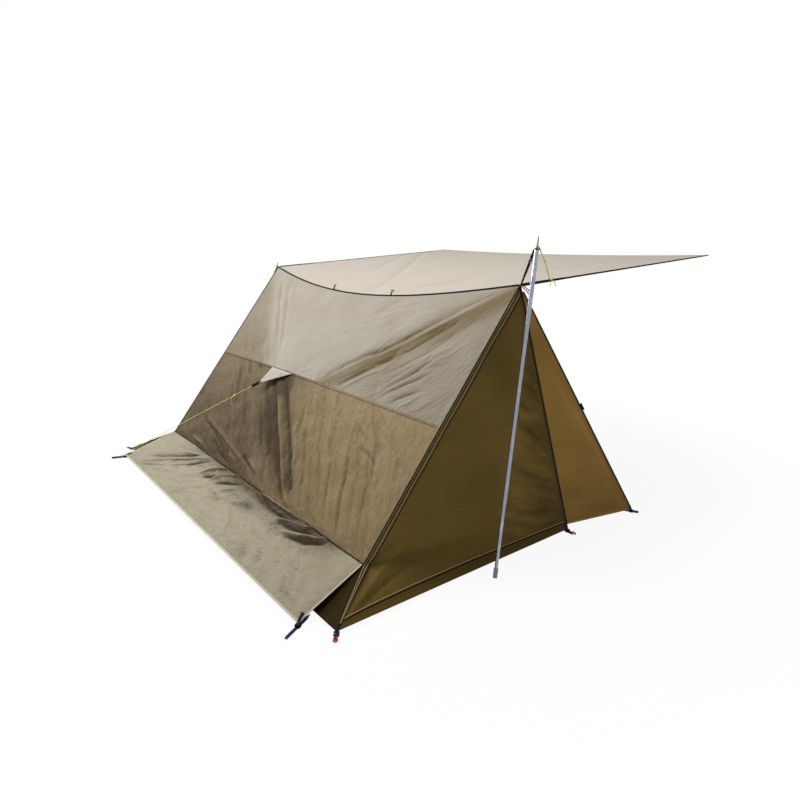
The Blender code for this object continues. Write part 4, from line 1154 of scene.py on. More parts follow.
FLAP_CREASES = (
    (0.01, 0.010, ((-1.052, 0.335), (-0.817, 0.206), (-0.62, 0.098), (-0.455, -0.003))),
    (0.008, -0.009, ((-0.971, 0.336), (-0.731, 0.236), (-0.614, 0.16), (-0.465, 0.041))),
    (0.008, -0.007, ((-1.03, 0.27), (-0.86, 0.17), (-0.70, 0.09), (-0.58, 0.02))),
    (0.008, 0.006, ((-0.90, 0.31), (-0.70, 0.22), (-0.55, 0.15), (-0.43, 0.06))),
    (0.01, 0.012, ((-0.934, 0.0), (-0.696, -0.007))),
    (0.01, 0.006, ((-0.862, 0.116), (-0.703, 0.065), (-0.527, 0.014))),
    (0.01, 0.012, ((-0.383, 0.145), (-0.286, 0.07), (-0.224, 0.004))),
    (0.008, -0.01, ((-0.318, 0.149), (-0.206, 0.094))),
    (0.008, -0.008, ((-0.477, -0.013), (-0.277, 0.004))),
    (0.012, 0.01, ((-0.233, 0.139), (-0.14, 0.066), (-0.017, -0.025))),
    (0.01, -0.01, ((-0.141, 0.133), (-0.004, 0.072), (0.083, 0.002))),
    (0.03, -0.006, ((0.07, 0.182), (0.233, 0.152), (0.339, 0.12))),
    (0.008, -0.004, ((-0.156, 0.171), (0.067, 0.202))),
    (0.008, 0.016, ((0.244, 0.006), (0.425, 0.017), (0.608, 0.015), (0.759, 0.003))),
    (0.008, -0.014, ((0.24, 0.026), (0.44, 0.057), (0.606, 0.055), (0.767, 0.028))),
    (0.01, 0.014, ((0.579, 0.081), (0.672, 0.052), (0.789, 0.021), (0.817, -0.012))),
    (0.01, -0.012, ((0.62, 0.093), (0.735, 0.079), (0.821, 0.041), (0.893, -0.003))),
    (0.012, 0.01, ((0.692, 0.114), (0.818, 0.089), (0.901, 0.041), (0.93, 0.001))),
    (0.01, -0.01, ((0.736, 0.129), (0.869, 0.1), (0.935, 0.053), (0.968, 0.006))),
    (0.006, -0.006, ((0.984, 0.007), (1.022, 0.022), (1.06, -0.01))),
    (0.012, -0.006, ((0.837, 0.242), (0.965, 0.259), (1.048, 0.323), (1.121, 0.33), (1.205, 0.336))),
    (0.01, 0.005, ((0.885, 0.25), (1.009, 0.266), (1.078, 0.314))),
    (0.02, 0.004, ((0.789, 0.235), (0.922, 0.197), (1.034, 0.172))),
    (0.01, -0.002, ((-0.414, 0.304), (-0.081, 0.311), (0.154, 0.303))),
    (0.01, -0.002, ((-0.881, 0.364), (-0.575, 0.234), (-0.298, 0.157))),
    (0.01, -0.003, ((0.676, 0.298), (0.796, 0.285))),
)
SIDE_CREASES = (
    (0.007, 0.0032, ((-1.13, 0.045), (-0.95, 0.14), (-0.80, 0.25))),
    (0.007, -0.0032, ((-1.13, 0.04), (-0.93, 0.115), (-0.76, 0.20))),
    (0.007, 0.0032, ((-1.12, 0.035), (-0.92, 0.095), (-0.72, 0.16))),
    (0.007, -0.003, ((-1.12, 0.03), (-0.90, 0.075), (-0.66, 0.115))),
    (0.012, -0.005, ((-0.035, 0.874), (0.044, 0.819), (0.093, 0.778))),
    (0.012, -0.005, ((-0.026, 0.762), (0.052, 0.682))),
    (0.012, -0.006, ((-0.034, 0.652), (0.063, 0.578), (0.112, 0.534))),
    (0.012, -0.006, ((-0.097, 0.44), (0.016, 0.38), (0.17, 0.308))),
    (0.01, -0.005, ((-0.15, 0.385), (0.012, 0.323), (0.204, 0.252))),
    (0.01, -0.004, ((-0.177, 0.233), (-0.032, 0.182), (0.234, 0.134))),
    (0.012, 0.004, ((-0.195, 0.204), (-0.001, 0.132), (0.25, 0.08))),
    (0.02, -0.004, ((-0.579, 0.507), (-0.676, 0.44), (-0.812, 0.327))),
    (0.015, 0.003, ((-0.899, 0.165), (-0.79, 0.3), (-0.678, 0.42))),
)
AWNING_CREASES = (
    (0.03, -0.008, ((-0.926, 0.342), (-0.793, 0.588), (-1.254, 1.332))),
    (0.03, -0.01, ((0.011, -0.056), (-0.272, 0.29), (-0.594, 0.727), (-1.278, 1.547))),
    (0.04, 0.012, ((0.072, -0.032), (0.064, 0.21), (0.162, 0.505), (0.33, 0.834))),
    (0.03, -0.008, ((0.47, 0.945), (0.739, 1.241), (0.773, 1.646))),
)
WING_CREASES = (
    (0.02, 0.008, ((0.22, 0.86), (0.294, 0.729), (0.394, 0.589), (0.51, 0.442), (0.658, 0.19))),
    (0.012, -0.004, ((0.253, 0.236), (0.425, 0.174))),
    (0.015, -0.005, ((0.343, 0.121), (0.546, 0.085), (0.736, 0.033))),
    (0.01, -0.003, ((0.254, 0.297), (0.31, 0.26))),
)
WALL_CRINKLES = (crinkles(1, 44, (0.30, 1.08, 0.74, 1.30), 36, 14, 0.34, 0.0036)
                 + crinkles(2, 26, (-1.10, -0.45, 0.74, 1.30), 132, 16, 0.30, 0.0030)
                 + crinkles(3, 26, (-0.45, 0.70, 1.00, 1.45), 20, 30, 0.25, 0.0018)
                 + crinkles(4, 84, (-0.15, 1.15, 0.06, 0.60), -53, 6, 0.66, 0.0058)
                 + crinkles(9, 40, (0.20, 1.12, 0.30, 0.66), -60, 24, 0.18, 0.0036)
                 + crinkles(5, 44, (-1.15, -0.30, 0.05, 0.66), -50, 9, 0.36, 0.0040))
FLAP_CRINKLES = (crinkles(6, 52, (-1.10, -0.20, 0.02, 0.34), -32, 18, 0.26, 0.0044)
                 + crinkles(7, 60, (-0.30, 1.15, 0.02, 0.34), 8, 40, 0.22, 0.0050))
SIDE_CRINKLES = (crinkles(8, 60, (-0.04, 0.20, 0.42, 1.00), -36, 7, 0.15, 0.0055, 0.15)
                 + crinkles(11, 48, (-0.12, 0.26, 0.08, 0.42), -20, 7, 0.20, 0.0055, 0.15))
WING_CRINKLES = crinkles(10, 26, (0.30, 0.62, 0.06, 0.40), -14, 12, 0.16, 0.0040)
print("creases:", sum(len(c) for c in (UPPER_CREASES, LOWER_CREASES, FLAP_CREASES, SIDE_CREASES,
                                       AWNING_CREASES, WING_CREASES)))

# %% [markdown]
# ## Rear wall
#
# Two panels, the fold over their seam and the band down to the pegs. Both panels read
# one field of heights, so that they meet at the seam with no gap. The lower panel hangs
# looser: its creases fan down from the tie-out and into the right corner, where the
# real wall is pulled forward by the pole.

# %% Painted shade of the panels
# Lines on the rear wall, along the ridge and up from the flap's seam: the two folds from
# the tie-out to the peaks, the tuck that hangs below the tie-out, along which shade is
# painted, and the middle of the painted shadow that the gusset casts.
RIGHT_FOLD = ((0.06, 0.69), (1.15, 1.45))
LEFT_FOLD = ((-1.10, 1.42), (-0.46, 0.75))
TUCK = ((-0.25, 0.66), (-0.18, 0.48), (0.02, 0.33), (0.40, 0.10))
GUSSET_SHADOW_AT = (-0.22, 0.61)


def bump(away, reach):
    """1 at no distance away and nearly 0 beyond twice the reach."""
    return np.exp(-(away / reach) ** 2)


def past(a, b, start, end):
    """How far points lie past the line from start to end, on its right hand side."""
    along = unit(vec(*end) - vec(*start))
    return (a - start[0]) * along[1] - (b - start[1]) * along[0]


def off_route(a, b, route):
    """Distance of points from a route."""
    nearest = np.full(np.shape(a), 1e9)
    for start, end in zip(np.array(route[:-1], float), np.array(route[1:], float)):
        step = end - start
        t = np.clip(((a - start[0]) * step[0] + (b - start[1]) * step[1]) / (step @ step), 0, 1)
        nearest = np.minimum(nearest, np.hypot(a - start[0] - t * step[0], b - start[1] - t * step[1]))
    return nearest


def wall_rise(points):
    return points @ WALL_UP - SEAM_CORNER @ WALL_UP


def as_read(points):
    """Where the camera sees points of the pulled wall on a flat one, as its lines were read."""
    eye = vec(*CAMERA_PLACE) - in_frame
    out, depth = (points - SEAM_CORNER) @ WALL_OUT, (eye - SEAM_CORNER) @ WALL_OUT
    flat = points + (points - eye) * (out / (depth - out))[..., None]
    return flat[..., 0], wall_rise(flat)


def upper_shade(points, u, v):
    """Painted shade: pale between the two folds that run from the tie-out to the peaks, darker beside them.
    """
    x, rise = as_read(points)
    beyond = past(x, rise, *RIGHT_FOLD)
    facing_right = smooth((beyond + 0.03) / 0.06) * (0.28 + 0.58 * bump(beyond - 0.05, 0.08))
    before = past(x, rise, *LEFT_FOLD)
    facing_left = 0.72 * smooth(before / 0.18) * (1 - 0.35 * smooth((-x - 0.85) / 0.3) * smooth(rise - 0.7))
    return 0.94 - facing_right - facing_left


def lower_shade(points, u, v):
    """Painted shade: darkest in the fold below the tie-out and in the gusset's shadow, paler up and to the
    right.
    """
    x, rise = as_read(points)
    # Painted shade: darker to the left and down towards the flap.
    base = 0.17 + 0.24 * rise / PANEL_LENGTH + 0.63 * smooth((x + 0.30) / 0.9)
    under = 0.62 * bump(off_route(x, rise, TUCK), 0.07)
    gusset_painted_shadow = 0.45 * bump(x - GUSSET_SHADOW_AT[0], 0.09) * bump(rise - GUSSET_SHADOW_AT[1], 0.08)
    return base - under - gusset_painted_shadow


def heap_share(x):
    """Where along the flap's seam its cloth heaps up: right of the middle, up to the corner."""
    return smooth((x + 0.55) / 0.5) * smooth((1.1 - x) / 0.3)


def flap_shade(points, u, v):
    """Painted shadow: dark where the flap heaps up against the wall, v is 1 there, and a little darker to the
    left.
    """
    x, out = points[..., 0], 1 - v
    depth = np.interp(x, [-1.0, -0.69, -0.46, 0.0, 0.46, 0.69, 0.92, 1.12],
                      [0, 0.4, 0.5, 0.75, 0.97, 1, 0.8, 0])
    reach = np.interp(x, [-0.5, 0.4, 0.7, 1.0], [0.27, 0.23, 0.28, 0.18])
    # Painted shadow over the heap, which also takes back the paler painted shade that the heap's relief
    # gives.
    heaped = 0.75 * heap_share(x) * bump(out - 0.2, 0.16)
    return 0.95 - depth * bump(out, reach) - heaped - 0.08 * smooth(-x / 1.2)


def side_shade(points, u, v):
    """Painted shade: darker along the front edge, down to the ground and up near the peak."""
    low, high = smooth((0.30 - points[..., 2]) / 0.30), smooth((points[..., 2] - 1.02) / 0.2)
    return 0.52 - 0.24 * smooth((u - 0.70) / 0.25) - 0.14 * low - 0.14 * high


left_of_middle = vec(-0.19, 1, 1)
below_tieout = between(SEAM_CORNER * left_of_middle, PEAK * left_of_middle, 0.41)
print("shade of the wall just below the tie-out:", round(float(lower_shade(below_tieout, 0, 0)), 2))

# %% Rear wall cloth
def wall_heights(points, u, v, ridge_fade=0.0):
    """Creases and waves of the rear wall, on both of its panels."""
    x, rise = as_read(points)
    total = (creases(x, rise, UPPER_CREASES, 1.3) + creases(x, rise, LOWER_CREASES, 1.6)
             + creases(x, rise, WALL_CRINKLES) + waves(x, rise, 4, 0.0030, 0.50, 0.10, 16))
    inside = (smooth((rear_edge(points[..., 2])[..., 0] - np.abs(points[..., 0])) / 0.05)
              * smooth(wall_rise(points) / 0.04))
    if ridge_fade:
        inside = inside * smooth((1 - v) / ridge_fade)
    return total * inside


def upper_heights(points, u, v):
    return wall_heights(points, u, v, 0.06)


def band_heights(points, u, v):
    return waves(points[..., 0], points[..., 2], 12, 0.004, 0.4, 0.1) * edge_fade(u, v, 0.03, 0.15, 0.15)


upper_cloth = panel("rear_upper_cloth", upper_wall, nylon_upper, WALL_OUT, 0.0067, upper_heights,
                    shade=upper_shade)
lower_cloth = panel("rear_lower_cloth", lower_wall, nylon_back, WALL_OUT, 0.0063, wall_heights,
                    shade=lower_shade)
seam_fold = panel("rear_seam_fold", wall_seam, nylon_back, WALL_OUT, 0.0047, wall_heights,
                  lift=0.0012, thickness=0.0008, shade=lower_shade)
band_cloth = panel("rear_ground_cloth", ground_band, nylon_band_shadow, vec(0, -1, 0.6), 0.012, band_heights)
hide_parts("rear_upper_panel")
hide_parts("rear_lower_panel")
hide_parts("rear_seam_tape")
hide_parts("rear_ground_band")
declare(upper_cloth, "shelter")
declare(lower_cloth, "shelter")
declare(seam_fold, "shelter")
declare(band_cloth, "shelter")
print("rear wall:", len(upper_cloth.data.polygons) + len(lower_cloth.data.polygons), "faces")

# %% [markdown]
# ## Storm flap
#
# The flap is a strip sewn on above the ground and staked out behind the tent, to keep
# wind and rain out. It lies loose between its two pegs, so it heaps up along its inner
# edge, which is painted dark as its shadow. Its outer edge has a 12 mm hem that catches
# the light, painted paler as a highlight.

# %% Storm flap cloth
# A metre out along the sloping flap goes this far back over the ground.
FLAP_LEVEL = 0.947


def flap_heights(points, u, v):
    """Creases, waves and a belly of the flap, and the heap of cloth along its seam."""
    x, out = points[..., 0], (SEAM_CORNER[1] - points[..., 1]) / FLAP_LEVEL
    heaped = 1.3 + 0.8 * bump(out, 0.2)
    total = creases(x, out, FLAP_CREASES) * heaped + creases(x, out, FLAP_CRINKLES)
    total = total + waves(x, out, 7, 0.0035, 0.45, 0.09, 16) + 0.004 * np.sin(np.pi * np.clip(v, 0, 1))
    heap = 0.020 * heap_share(x) * bump(out - 0.08, 0.05)
    # The band that runs down to the pegs lies below, so that a valley can't be deeper than this.
    total = np.maximum(total + heap, -0.09 * out - 0.002)
    return total * edge_fade(u, v, 0.025, 0.09, 0.03)


flap_cloth = panel("storm_flap_cloth", flap, nylon_flap, FLAP_FACE, 0.0048, flap_heights, shade=flap_shade)
flap_trim = [panel(name, flap, nylon_hem_highlight, FLAP_FACE, 0.006, flap_heights, lift=0.0010, part=part,
                   thickness=0.0008)
             for name, part in (("storm_flap_hem", (0.0, 1.0, 0.0, 0.032)),
                                ("storm_flap_end_hem", (0.9955, 1.0, 0.032, 0.97)),
                                ("storm_flap_left_hem", (0.0, 0.0045, 0.032, 0.97)))]
# A dark tube in the shaded-fold finish along the flap's seam: a painted shadow line.
flap_trim.append(swept("storm_flap_seam_shadow_line",
                       row_on(flap, flap_heights, FLAP_FACE, "v", 0.987, 0.0020, 500) - in_frame,
                       nylon_fold_shadow, 0.0030, 8))
for piece in flap_trim:
    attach(piece, "shelter")
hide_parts("storm_flap")
declare(flap_cloth, "shelter")
print("flap:", len(flap_cloth.data.polygons), "faces")

# %% [markdown]
# ## Side walls
#
# Each side wall is a triangle from the rear corner line to the front edge. In the
# photograph the right one faces away from the sky and shows its deep brown, which its
# khakis darken further as painted shade. Along the rear corner runs a felled seam in two
# rows of stitches, whose folds are drawn as lines of painted highlight and painted
# shadow. Along the ground runs a wide hem that narrows towards the rear peg, and down the
# front a dark binding on which the wing turns.

# %% Side wall cloth
side_out = unit(np.cross(vec(*FRONT_PEG) - SEAM_CORNER, PEAK - SEAM_CORNER))


def side_heights(points, u, v):
    """Creases and waves of a side wall, which fade out at its edges."""
    forward_run, height = points[..., 1], points[..., 2]
    total = (creases(forward_run, height, SIDE_CREASES, 1.3, 0.007)
             + creases(forward_run, height, SIDE_CRINKLES, 1.0, 0.006))
    return (total + waves(forward_run, height, 21, 0.0030, 0.6, 0.15, 12)) * edge_fade(u, v, 0.05, 0.03, 0.05)


# Lines along the corner seam, at shares of its width, and along the hem: those in the
# shaded-fold finish are painted shadow, those in the crest finish painted highlight.
CORNER_FOLDS = ((1, 0.30, nylon_fold_shadow), (2, 0.97, nylon_fold_shadow), (3, 0.12, nylon_crest_highlight), (4, 0.60, nylon_crest_highlight))
HEM_FOLDS = (("fold", 0.97, nylon_crest_highlight), ("shadow", 0.82, nylon_fold_shadow))
for side, name in SIDES:
    place = side_wall(side)
    outward = mirrored(side_out, side)
    cloth = panel(f"side_cloth_{name}", place, nylon_side, outward, 0.0068, side_heights, shade=side_shade)
    strip, strip_heights = edge_strip(place, side_heights, 0.040)
    corner = panel(f"side_corner_seam_{name}", strip, nylon_corner, outward, 0.009, strip_heights,
                   lift=0.0011, part=(0.0, 1.0, 0.01, 0.985), thickness=0.0009)
    folds = [swept(f"side_corner_fold_{number}_{name}",
                   row_on(strip, strip_heights, outward, "u", at, 0.0024, 160, 0.01, 0.985) - in_frame,
                   finish, 0.0024, 8)
             for number, at, finish in CORNER_FOLDS]
    seam = np.array([mirrored(rear_edge(z), side) for z in np.linspace(0.03, SIDE_TOP, 120)])
    # A dark tube in the shaded-fold finish along the corner line: a painted shadow line.
    folds.append(swept(f"side_corner_shadow_line_{name}", seam + mirrored(vec(0.0006, -0.0012, 0), side),
                       nylon_fold_shadow, 0.0034, 8))
    low_strip, low_heights = ground_strip(place, side_heights)
    hem = panel(f"side_hem_{name}", low_strip, nylon_side_hem, outward, 0.009, low_heights, lift=0.0011,
                part=(0.004, 0.996, 0.0, 1.0), thickness=0.0009)
    folds += [swept(f"side_hem_{label}_{name}",
                    row_on(low_strip, low_heights, outward, "v", at, 0.0020, 200, 0.01, 0.99) - in_frame,
                    finish, 0.0028, 8)
              for label, at, finish in HEM_FOLDS]
    for piece in (corner, hem, *folds):
        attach(piece, "shelter")
    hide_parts(f"side_wall_{name}")
    declare(cloth, "shelter")
print("side walls done, outward", [round(c, 3) for c in side_out])

# %% [markdown]
# ## Wings
#
# The wings close the front when they are swung across it. Here they stand open, in line
# with the side walls, and each is held by a peg. Their outer edge runs straight inside its
# binding. A short webbing tab half way up ties a wing back.

# %% Wing cloth
def wing_shade(points, u, v):
    """Painted shade: even, and darker towards the ground."""
    return 0.50 + 0.12 * smooth(v / 0.6)


def wing_heights(points, u, v):
    """Creases and waves of a wing, which fade out at its edges."""
    forward_run, height = points[..., 1], points[..., 2]
    total = (creases(forward_run, height, WING_CREASES, 1.2, 0.010)
             + creases(forward_run, height, WING_CRINKLES))
    return (total + waves(forward_run, height, 33, 0.0030, 0.4, 0.12, 12)) * edge_fade(u, v, 0.10, 0.03, 0.05)


TAB_HALF = 0.022
for side, name in SIDES:
    place = wing(side)
    outward = mirrored(WING_FACE, side)
    cloth = panel(f"wing_cloth_{name}", place, nylon_wing_backlit, outward, 0.0075, wing_heights, shade=wing_shade)
    hem = panel(f"wing_hem_{name}", place, nylon_wing_backlit, outward, 0.008, wing_heights, lift=0.0011,
                part=(0.01, 0.97, 0.0, 0.012), thickness=0.0009)
    edge = np.array([mirrored(wing_edge(s), side) for s in np.linspace(0.004, WING_TOP, 60)])
    binding = swept(f"wing_binding_{name}", edge, tape_dark, np.linspace(0.0046, 0.0036, 60), 10,
                    np.linspace(0.0042, 0.0028, 60), start_normal=mirrored(WING_OUT, side))
    base = wing_edge(0.5)
    away = unit(WING_OUT - WING_EDGE * (WING_OUT @ WING_EDGE))
    centres = np.array([mirrored(base + away * 0.0100 + WING_EDGE * s, side)
                        for s in np.linspace(-TAB_HALF, TAB_HALF, 12)])
    tab = webbing(f"wing_tie_tab_{name}", centres, mirrored(away, side), 0.011, tape_dark, 0.0015, outward)
    body = f"wing_{name}"
    for piece in (hem, binding):
        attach(piece, body)
    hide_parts(f"wing_{name}")
    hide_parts(f"wing_piping_{name}")
    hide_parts(f"wing_tab_{name}")
    declare(tab, body)
    declare(cloth, body)
print("wings done")

# %% [markdown]
# ## Awning
#
# The awning runs on from the ridge and is held up in front by poles or trees that the
# photograph doesn't show.

# %% Awning cloth and bindings
def awning_heights(points, u, v):
    """Creases and waves of the awning, which fade out at its edges."""
    x, out = points[..., 0], points[..., 1]
    total = creases(x, out, AWNING_CREASES, 0.9, 0.020) + waves(x, out, 45, 0.0040, 0.7, 0.2, 12)
    return total * edge_fade(u, v, 0.03, 0.03, 0.02)


awning_cloth = panel("awning_cloth", awning, nylon_roof, UP, 0.0098, awning_heights)
awning_hem = panel("awning_front_hem", awning, nylon_hem_highlight, UP, 0.008, awning_heights, lift=0.0010,
                   part=(0.0, 1.0, 0.991, 1.0), thickness=0.0008)
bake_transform(awning_cloth)
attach(awning_hem, "awning")
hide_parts("awning")
EDGE_POINTS = 90
for side, name in SIDES:
    edge = awning_at(np.full(EDGE_POINTS, side), np.linspace(0.004, 0.996, EDGE_POINTS), 0)
    # The binding is thickest by the ridge, where it is gathered, and thinnest in front.
    thick = np.interp(np.linspace(0, 1, EDGE_POINTS), [0, 0.10, 0.2, 0.9, 1],
                      np.array([1.35, 1.25, 0.85, 0.7, 0.5]) * BINDING)
    binding = swept(f"awning_binding_{name}", edge, tape_dark, thick, 10, thick * 0.75)
    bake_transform(binding)
    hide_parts(f"awning_piping_{name}")
declare(awning_cloth, None)
print("awning:", len(awning_cloth.data.polygons), "faces")

# %% [markdown]
# ## Ridge, corner and front bindings
#
# Dark tape is folded over every raw edge. Over the ridge it covers the seam between the
# rear wall and the awning, which is why the ridge shows as one dark line.

# %% Bindings that stay with the shelter
ridge_line = ridge(np.linspace(-0.9945, 0.9945, 120))
binding = swept("ridge_binding", ridge_line, tape_dark, BINDING, 12, BINDING * 0.86)
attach(binding, "shelter")
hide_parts("ridge_piping")
for side, name in SIDES:
    edge = np.array([mirrored(front_edge(z), side) for z in np.linspace(0.021, SIDE_TOP, 80)])
    binding = swept(f"side_binding_{name}", edge, tape_dark, 0.0044, 10, 0.0036)
    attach(binding, "shelter")
    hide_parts(f"side_piping_{name}")
print("bindings done")

# %% [markdown]
# ## Tie-out and guy line
#
# A triangle of cloth is sewn into the wall's seam and gathered into a webbing loop. The
# guy line starts there as a doubled cord, runs through its own adjusting knot and goes
# on single to the flap's left peg. The knot slides, so it rides on its own body. The
# triangle bows up between its edges, as it is pulled only along them.

# %% Tie-out, guy line and knot
GUSSET_LENGTH = 0.20
# Along the guy line: the loop behind the gusset's tip, and the knot behind the loop.
LOOP_LENGTH = 0.05
KNOT_AT = 0.145
tie_base = (vec((TIEOUT[0] + TIEOUT[1]) / 2, WALL_SEAM_CORNER[1], WALL_SEAM_CORNER[2])
            + WALL_OUT * (TIEOUT_PULL + 0.0045))
peg_out = unit(vec(-0.30, -0.95, 0))
guy_end = vec(-FLAP_PEG[0], FLAP_PEG[1], 0.01634) + peg_out * 0.03
pull = unit(guy_end - tie_base)
apex = tie_base + pull * GUSSET_LENGTH
sideways = unit(np.cross(UP, pull))
beside = np.cross(pull, sideways)


def gusset(u, v):
    """The triangle from the wall's seam (v = 0) to its tip."""
    foot = tie_base + vec(1, 0, 0) * ((2 * u - 1) * (TIEOUT[1] - TIEOUT[0]) / 2)[..., None]
    tip = apex + sideways * ((2 * u - 1) * 0.005)[..., None]
    return between(foot, tip, v)


def gusset_heights(points, u, v):
    """The bow between the triangle's edges, and small waves."""
    bow = 0.009 * np.sin(np.pi * u) * (1 - v) ** 1.5 * smooth(v / 0.15)
    small = waves(points[..., 0] * 1.5, points[..., 1], 8, 0.003, 0.12, 0.04, 8)
    return bow + small * edge_fade(u, v, 0.1, 0.15, 0.3)


gusset_cloth = panel("tieout_gusset_cloth", gusset, nylon_roof, -beside if beside[2] < 0 else beside, 0.005,
                     gusset_heights, thickness=0.0009)
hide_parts("tieout_gusset")
declare(gusset_cloth, "shelter")

loop_start, loop_end = apex + pull * 0.0012, apex + pull * (0.0012 + LOOP_LENGTH)
strip = np.array([loop_start + (loop_end - loop_start) * s for s in np.linspace(-0.5, 1, 24)])
tie_loop = webbing("tieout_webbing", strip, beside, 0.016, tape_dark, 0.0030, sideways)
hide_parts("tieout_loop")
declare(tie_loop, "shelter")

line_start = loop_end + pull * SEAM_GAP
knot_place = line_start + pull * KNOT_AT
guy_route = smooth_route([line_start, between(line_start, guy_end, 0.3), between(line_start, guy_end, 0.7),
                          guy_end], 30)
guy = swept("guy_line_cord", guy_route, cord_yellow, CORD_RADIUS, 10)
# The second strand lies beside the first, and a little looser in its middle.
gap = sideways * (2 * CORD_RADIUS + 0.0002)
second = smooth_route([line_start + gap, between(line_start, knot_place, 0.5) + gap * 1.3,
                       knot_place + gap], 20)
return_cord = swept("guy_line_second_strand", second, cord_yellow, CORD_RADIUS, 10)


TURN_STEPS = 16


def knot_route(centre, along, size, turns, wide=CORD_RADIUS, flat=CORD_RADIUS, one=None):
    """A cord wound in turns round a bundle that is wide by flat in half size."""
    one = unit(np.cross(along, UP)) if one is None else one
    two = np.cross(along, one)
    angle = np.linspace(0, 2 * math.pi * turns, TURN_STEPS * turns)
    climb = (angle / angle[-1] - 0.5) * size
    room = CORD_RADIUS + 0.0004
    ring = one * (np.cos(angle) * (wide + room))[:, None] + two * (np.sin(angle) * (flat + room))[:, None]
    return centre + along * climb[:, None] + ring


wound = knot_route(knot_place + gap * 0.65, pull, 0.022, 6, CORD_RADIUS * 2.6, CORD_RADIUS, sideways)
knot_turns = swept("guy_knot_turns", wound, cord_yellow, CORD_RADIUS, 8)
tail_start = wound[-1] - beside * math.copysign(0.004, beside[2])
tail_route = smooth_route([tail_start, tail_start + vec(-0.006, -0.010, -0.008),
                           tail_start + vec(-0.009, -0.012, -0.038),
                           tail_start + vec(-0.006, -0.010, -0.068)], 20)
tail = swept("guy_knot_tail", tail_route, cord_yellow, CORD_RADIUS, 10)
for piece in (knot_turns, tail):
    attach(piece, "guy_knot")
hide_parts("guy_knot")
end_knot = swept("guy_line_peg_knot", knot_route(guy_end - pull * 0.007, pull, 0.011, 3), cord_yellow,
                 CORD_RADIUS, 8)
for piece in (guy, return_cord, end_knot):
    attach(piece, "shelter")
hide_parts("guy_line")
print("guy line", round(route_length(guy_route), 3), "m, knot at", KNOT_AT)

# %% [markdown]
# ## Cord at the top of the right pole
#
# A short cord is wound twice round the pole's spike and hangs down doubled to the
# awning's edge, with a small knot on its way and two loose ends below. It swings with
# the pole.

# %% Top guy
top = vec(*RIGHT_PIVOT)
pole_axis = unit(top - vec(*POLE_FOOT))
rest = awning_at(1, 0.115, 0) + vec(CORD_RADIUS, 0, 0.00585)
away = rest - top
away = unit(away - pole_axis * (away @ pole_axis))
aside = np.cross(pole_axis, away)
SPIKE_TURNS = 2
SPIKE_RADIUS = 0.0048
# The cord starts this far above the grommet, and each turn takes it down by the drop.
FIRST_TURN, TURN_DROP = 0.018, 0.0032
wound = []
for step in range(SPIKE_TURNS * TURN_STEPS + 1):
    angle = 2 * math.pi * (step / TURN_STEPS - 0.25)
    spoke = away * math.cos(angle) + aside * math.sin(angle)
    wound.append(top + pole_axis * (FIRST_TURN - TURN_DROP * step / TURN_STEPS)
                 + spoke * (SPIKE_RADIUS + CORD_RADIUS + 0.0003))
leave = wound[-1]
fall = [leave + (rest - leave) * s + away * 0.02 * math.sin(s * math.pi) for s in np.linspace(0.125, 1, 8)]
top_route = smooth_route(wound + fall, 150)
top_cord = swept("top_guy_cord", top_route, cord_yellow, CORD_RADIUS, 8)
doubled = smooth_route([point + vec(2 * CORD_RADIUS + 0.0003, 0, 0) for point in [leave] + fall], 60)
top_second = swept("top_guy_second_strand", doubled, cord_yellow, CORD_RADIUS, 8)
middle = fall[2] + vec(CORD_RADIUS, 0, 0)
down = unit(fall[3] - fall[1])
top_knot = swept("top_guy_knot", knot_route(middle, down, 0.012, 3, CORD_RADIUS * 2.2, CORD_RADIUS * 1.6),
                 cord_yellow, CORD_RADIUS, 8)
tails = []
for name, lean in (("one", vec(-0.006, 0.004, -0.036)), ("two", vec(0.016, 0.024, -0.034))):
    start = rest + vec(0.0065, 0.002, 0.001)
    line = smooth_route([start, start + lean * vec(0.5, 0.5, 0.25) + vec(0.004, 0, 0), start + lean], 14)
    tails.append(swept(f"top_guy_end_{name}", line, cord_yellow, CORD_RADIUS, 8))
for piece in (top_cord, top_second, top_knot, *tails):
    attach(piece, "pole_right")
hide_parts("top_guy")
print("top cord", round(route_length(top_route), 3), "m")

# %% [markdown]
# ## Corner loops, pegs and pulls
#
# At each staked corner a webbing loop holds a peg, which lies on the ground here because
# a library part has no ground to be driven into. The loops are sewn on with a tail of
# the same webbing. The pegs keep their CAD form, and the four under the side walls have
# a pull of red cord through their heads.

# %% Loops, tails and pulls
def rounded_outline(half, low, high, radius):
    """A closed outline of a loop: half its width, its lower and upper edge, its rounding."""
    points = []
    for x, z, start in ((1, 1, 0), (-1, 1, 90), (-1, -1, 180), (1, -1, 270)):
        for step in range(5):
            angle = math.radians(start + 22.5 * step)
            points.append((x * (half - radius) + radius * math.cos(angle),
                           (high - radius if z > 0 else low + radius) + radius * math.sin(angle)))
    return np.array(points + points[:1])


# Each staked corner: its place, the way its peg points, the way its seam runs and its body.
CORNERS = {
    "rear": (vec(*REAR_PEG), unit(vec(0.79, -0.61, 0)), unit(SEAM_CORNER - vec(*REAR_PEG)), "shelter"),
    "flap": (vec(*FLAP_PEG), unit(vec(0.46, -0.89, 0)),
             unit(SEAM_CORNER - vec(*FLAP_PEG) + vec(-0.2, 0, 0.02)), "shelter"),
    "front": (vec(*FRONT_PEG), unit(vec(0.99, -0.13, 0)), unit(PEAK - vec(*FRONT_PEG)), "shelter"),
    "wing": (vec(*WING_PEG), unit(vec(0.89, 0.46, 0)), unit(PEAK - vec(*WING_PEG)), "wing"),
}
outline = rounded_outline(0.01125, 0.00075, 0.01565, 0.0035)
# Where a pull goes through a peg's head: how far out from the corner, and how high.
PEG_SHOWN = 0.04
PEG_MIDDLE = 0.006493
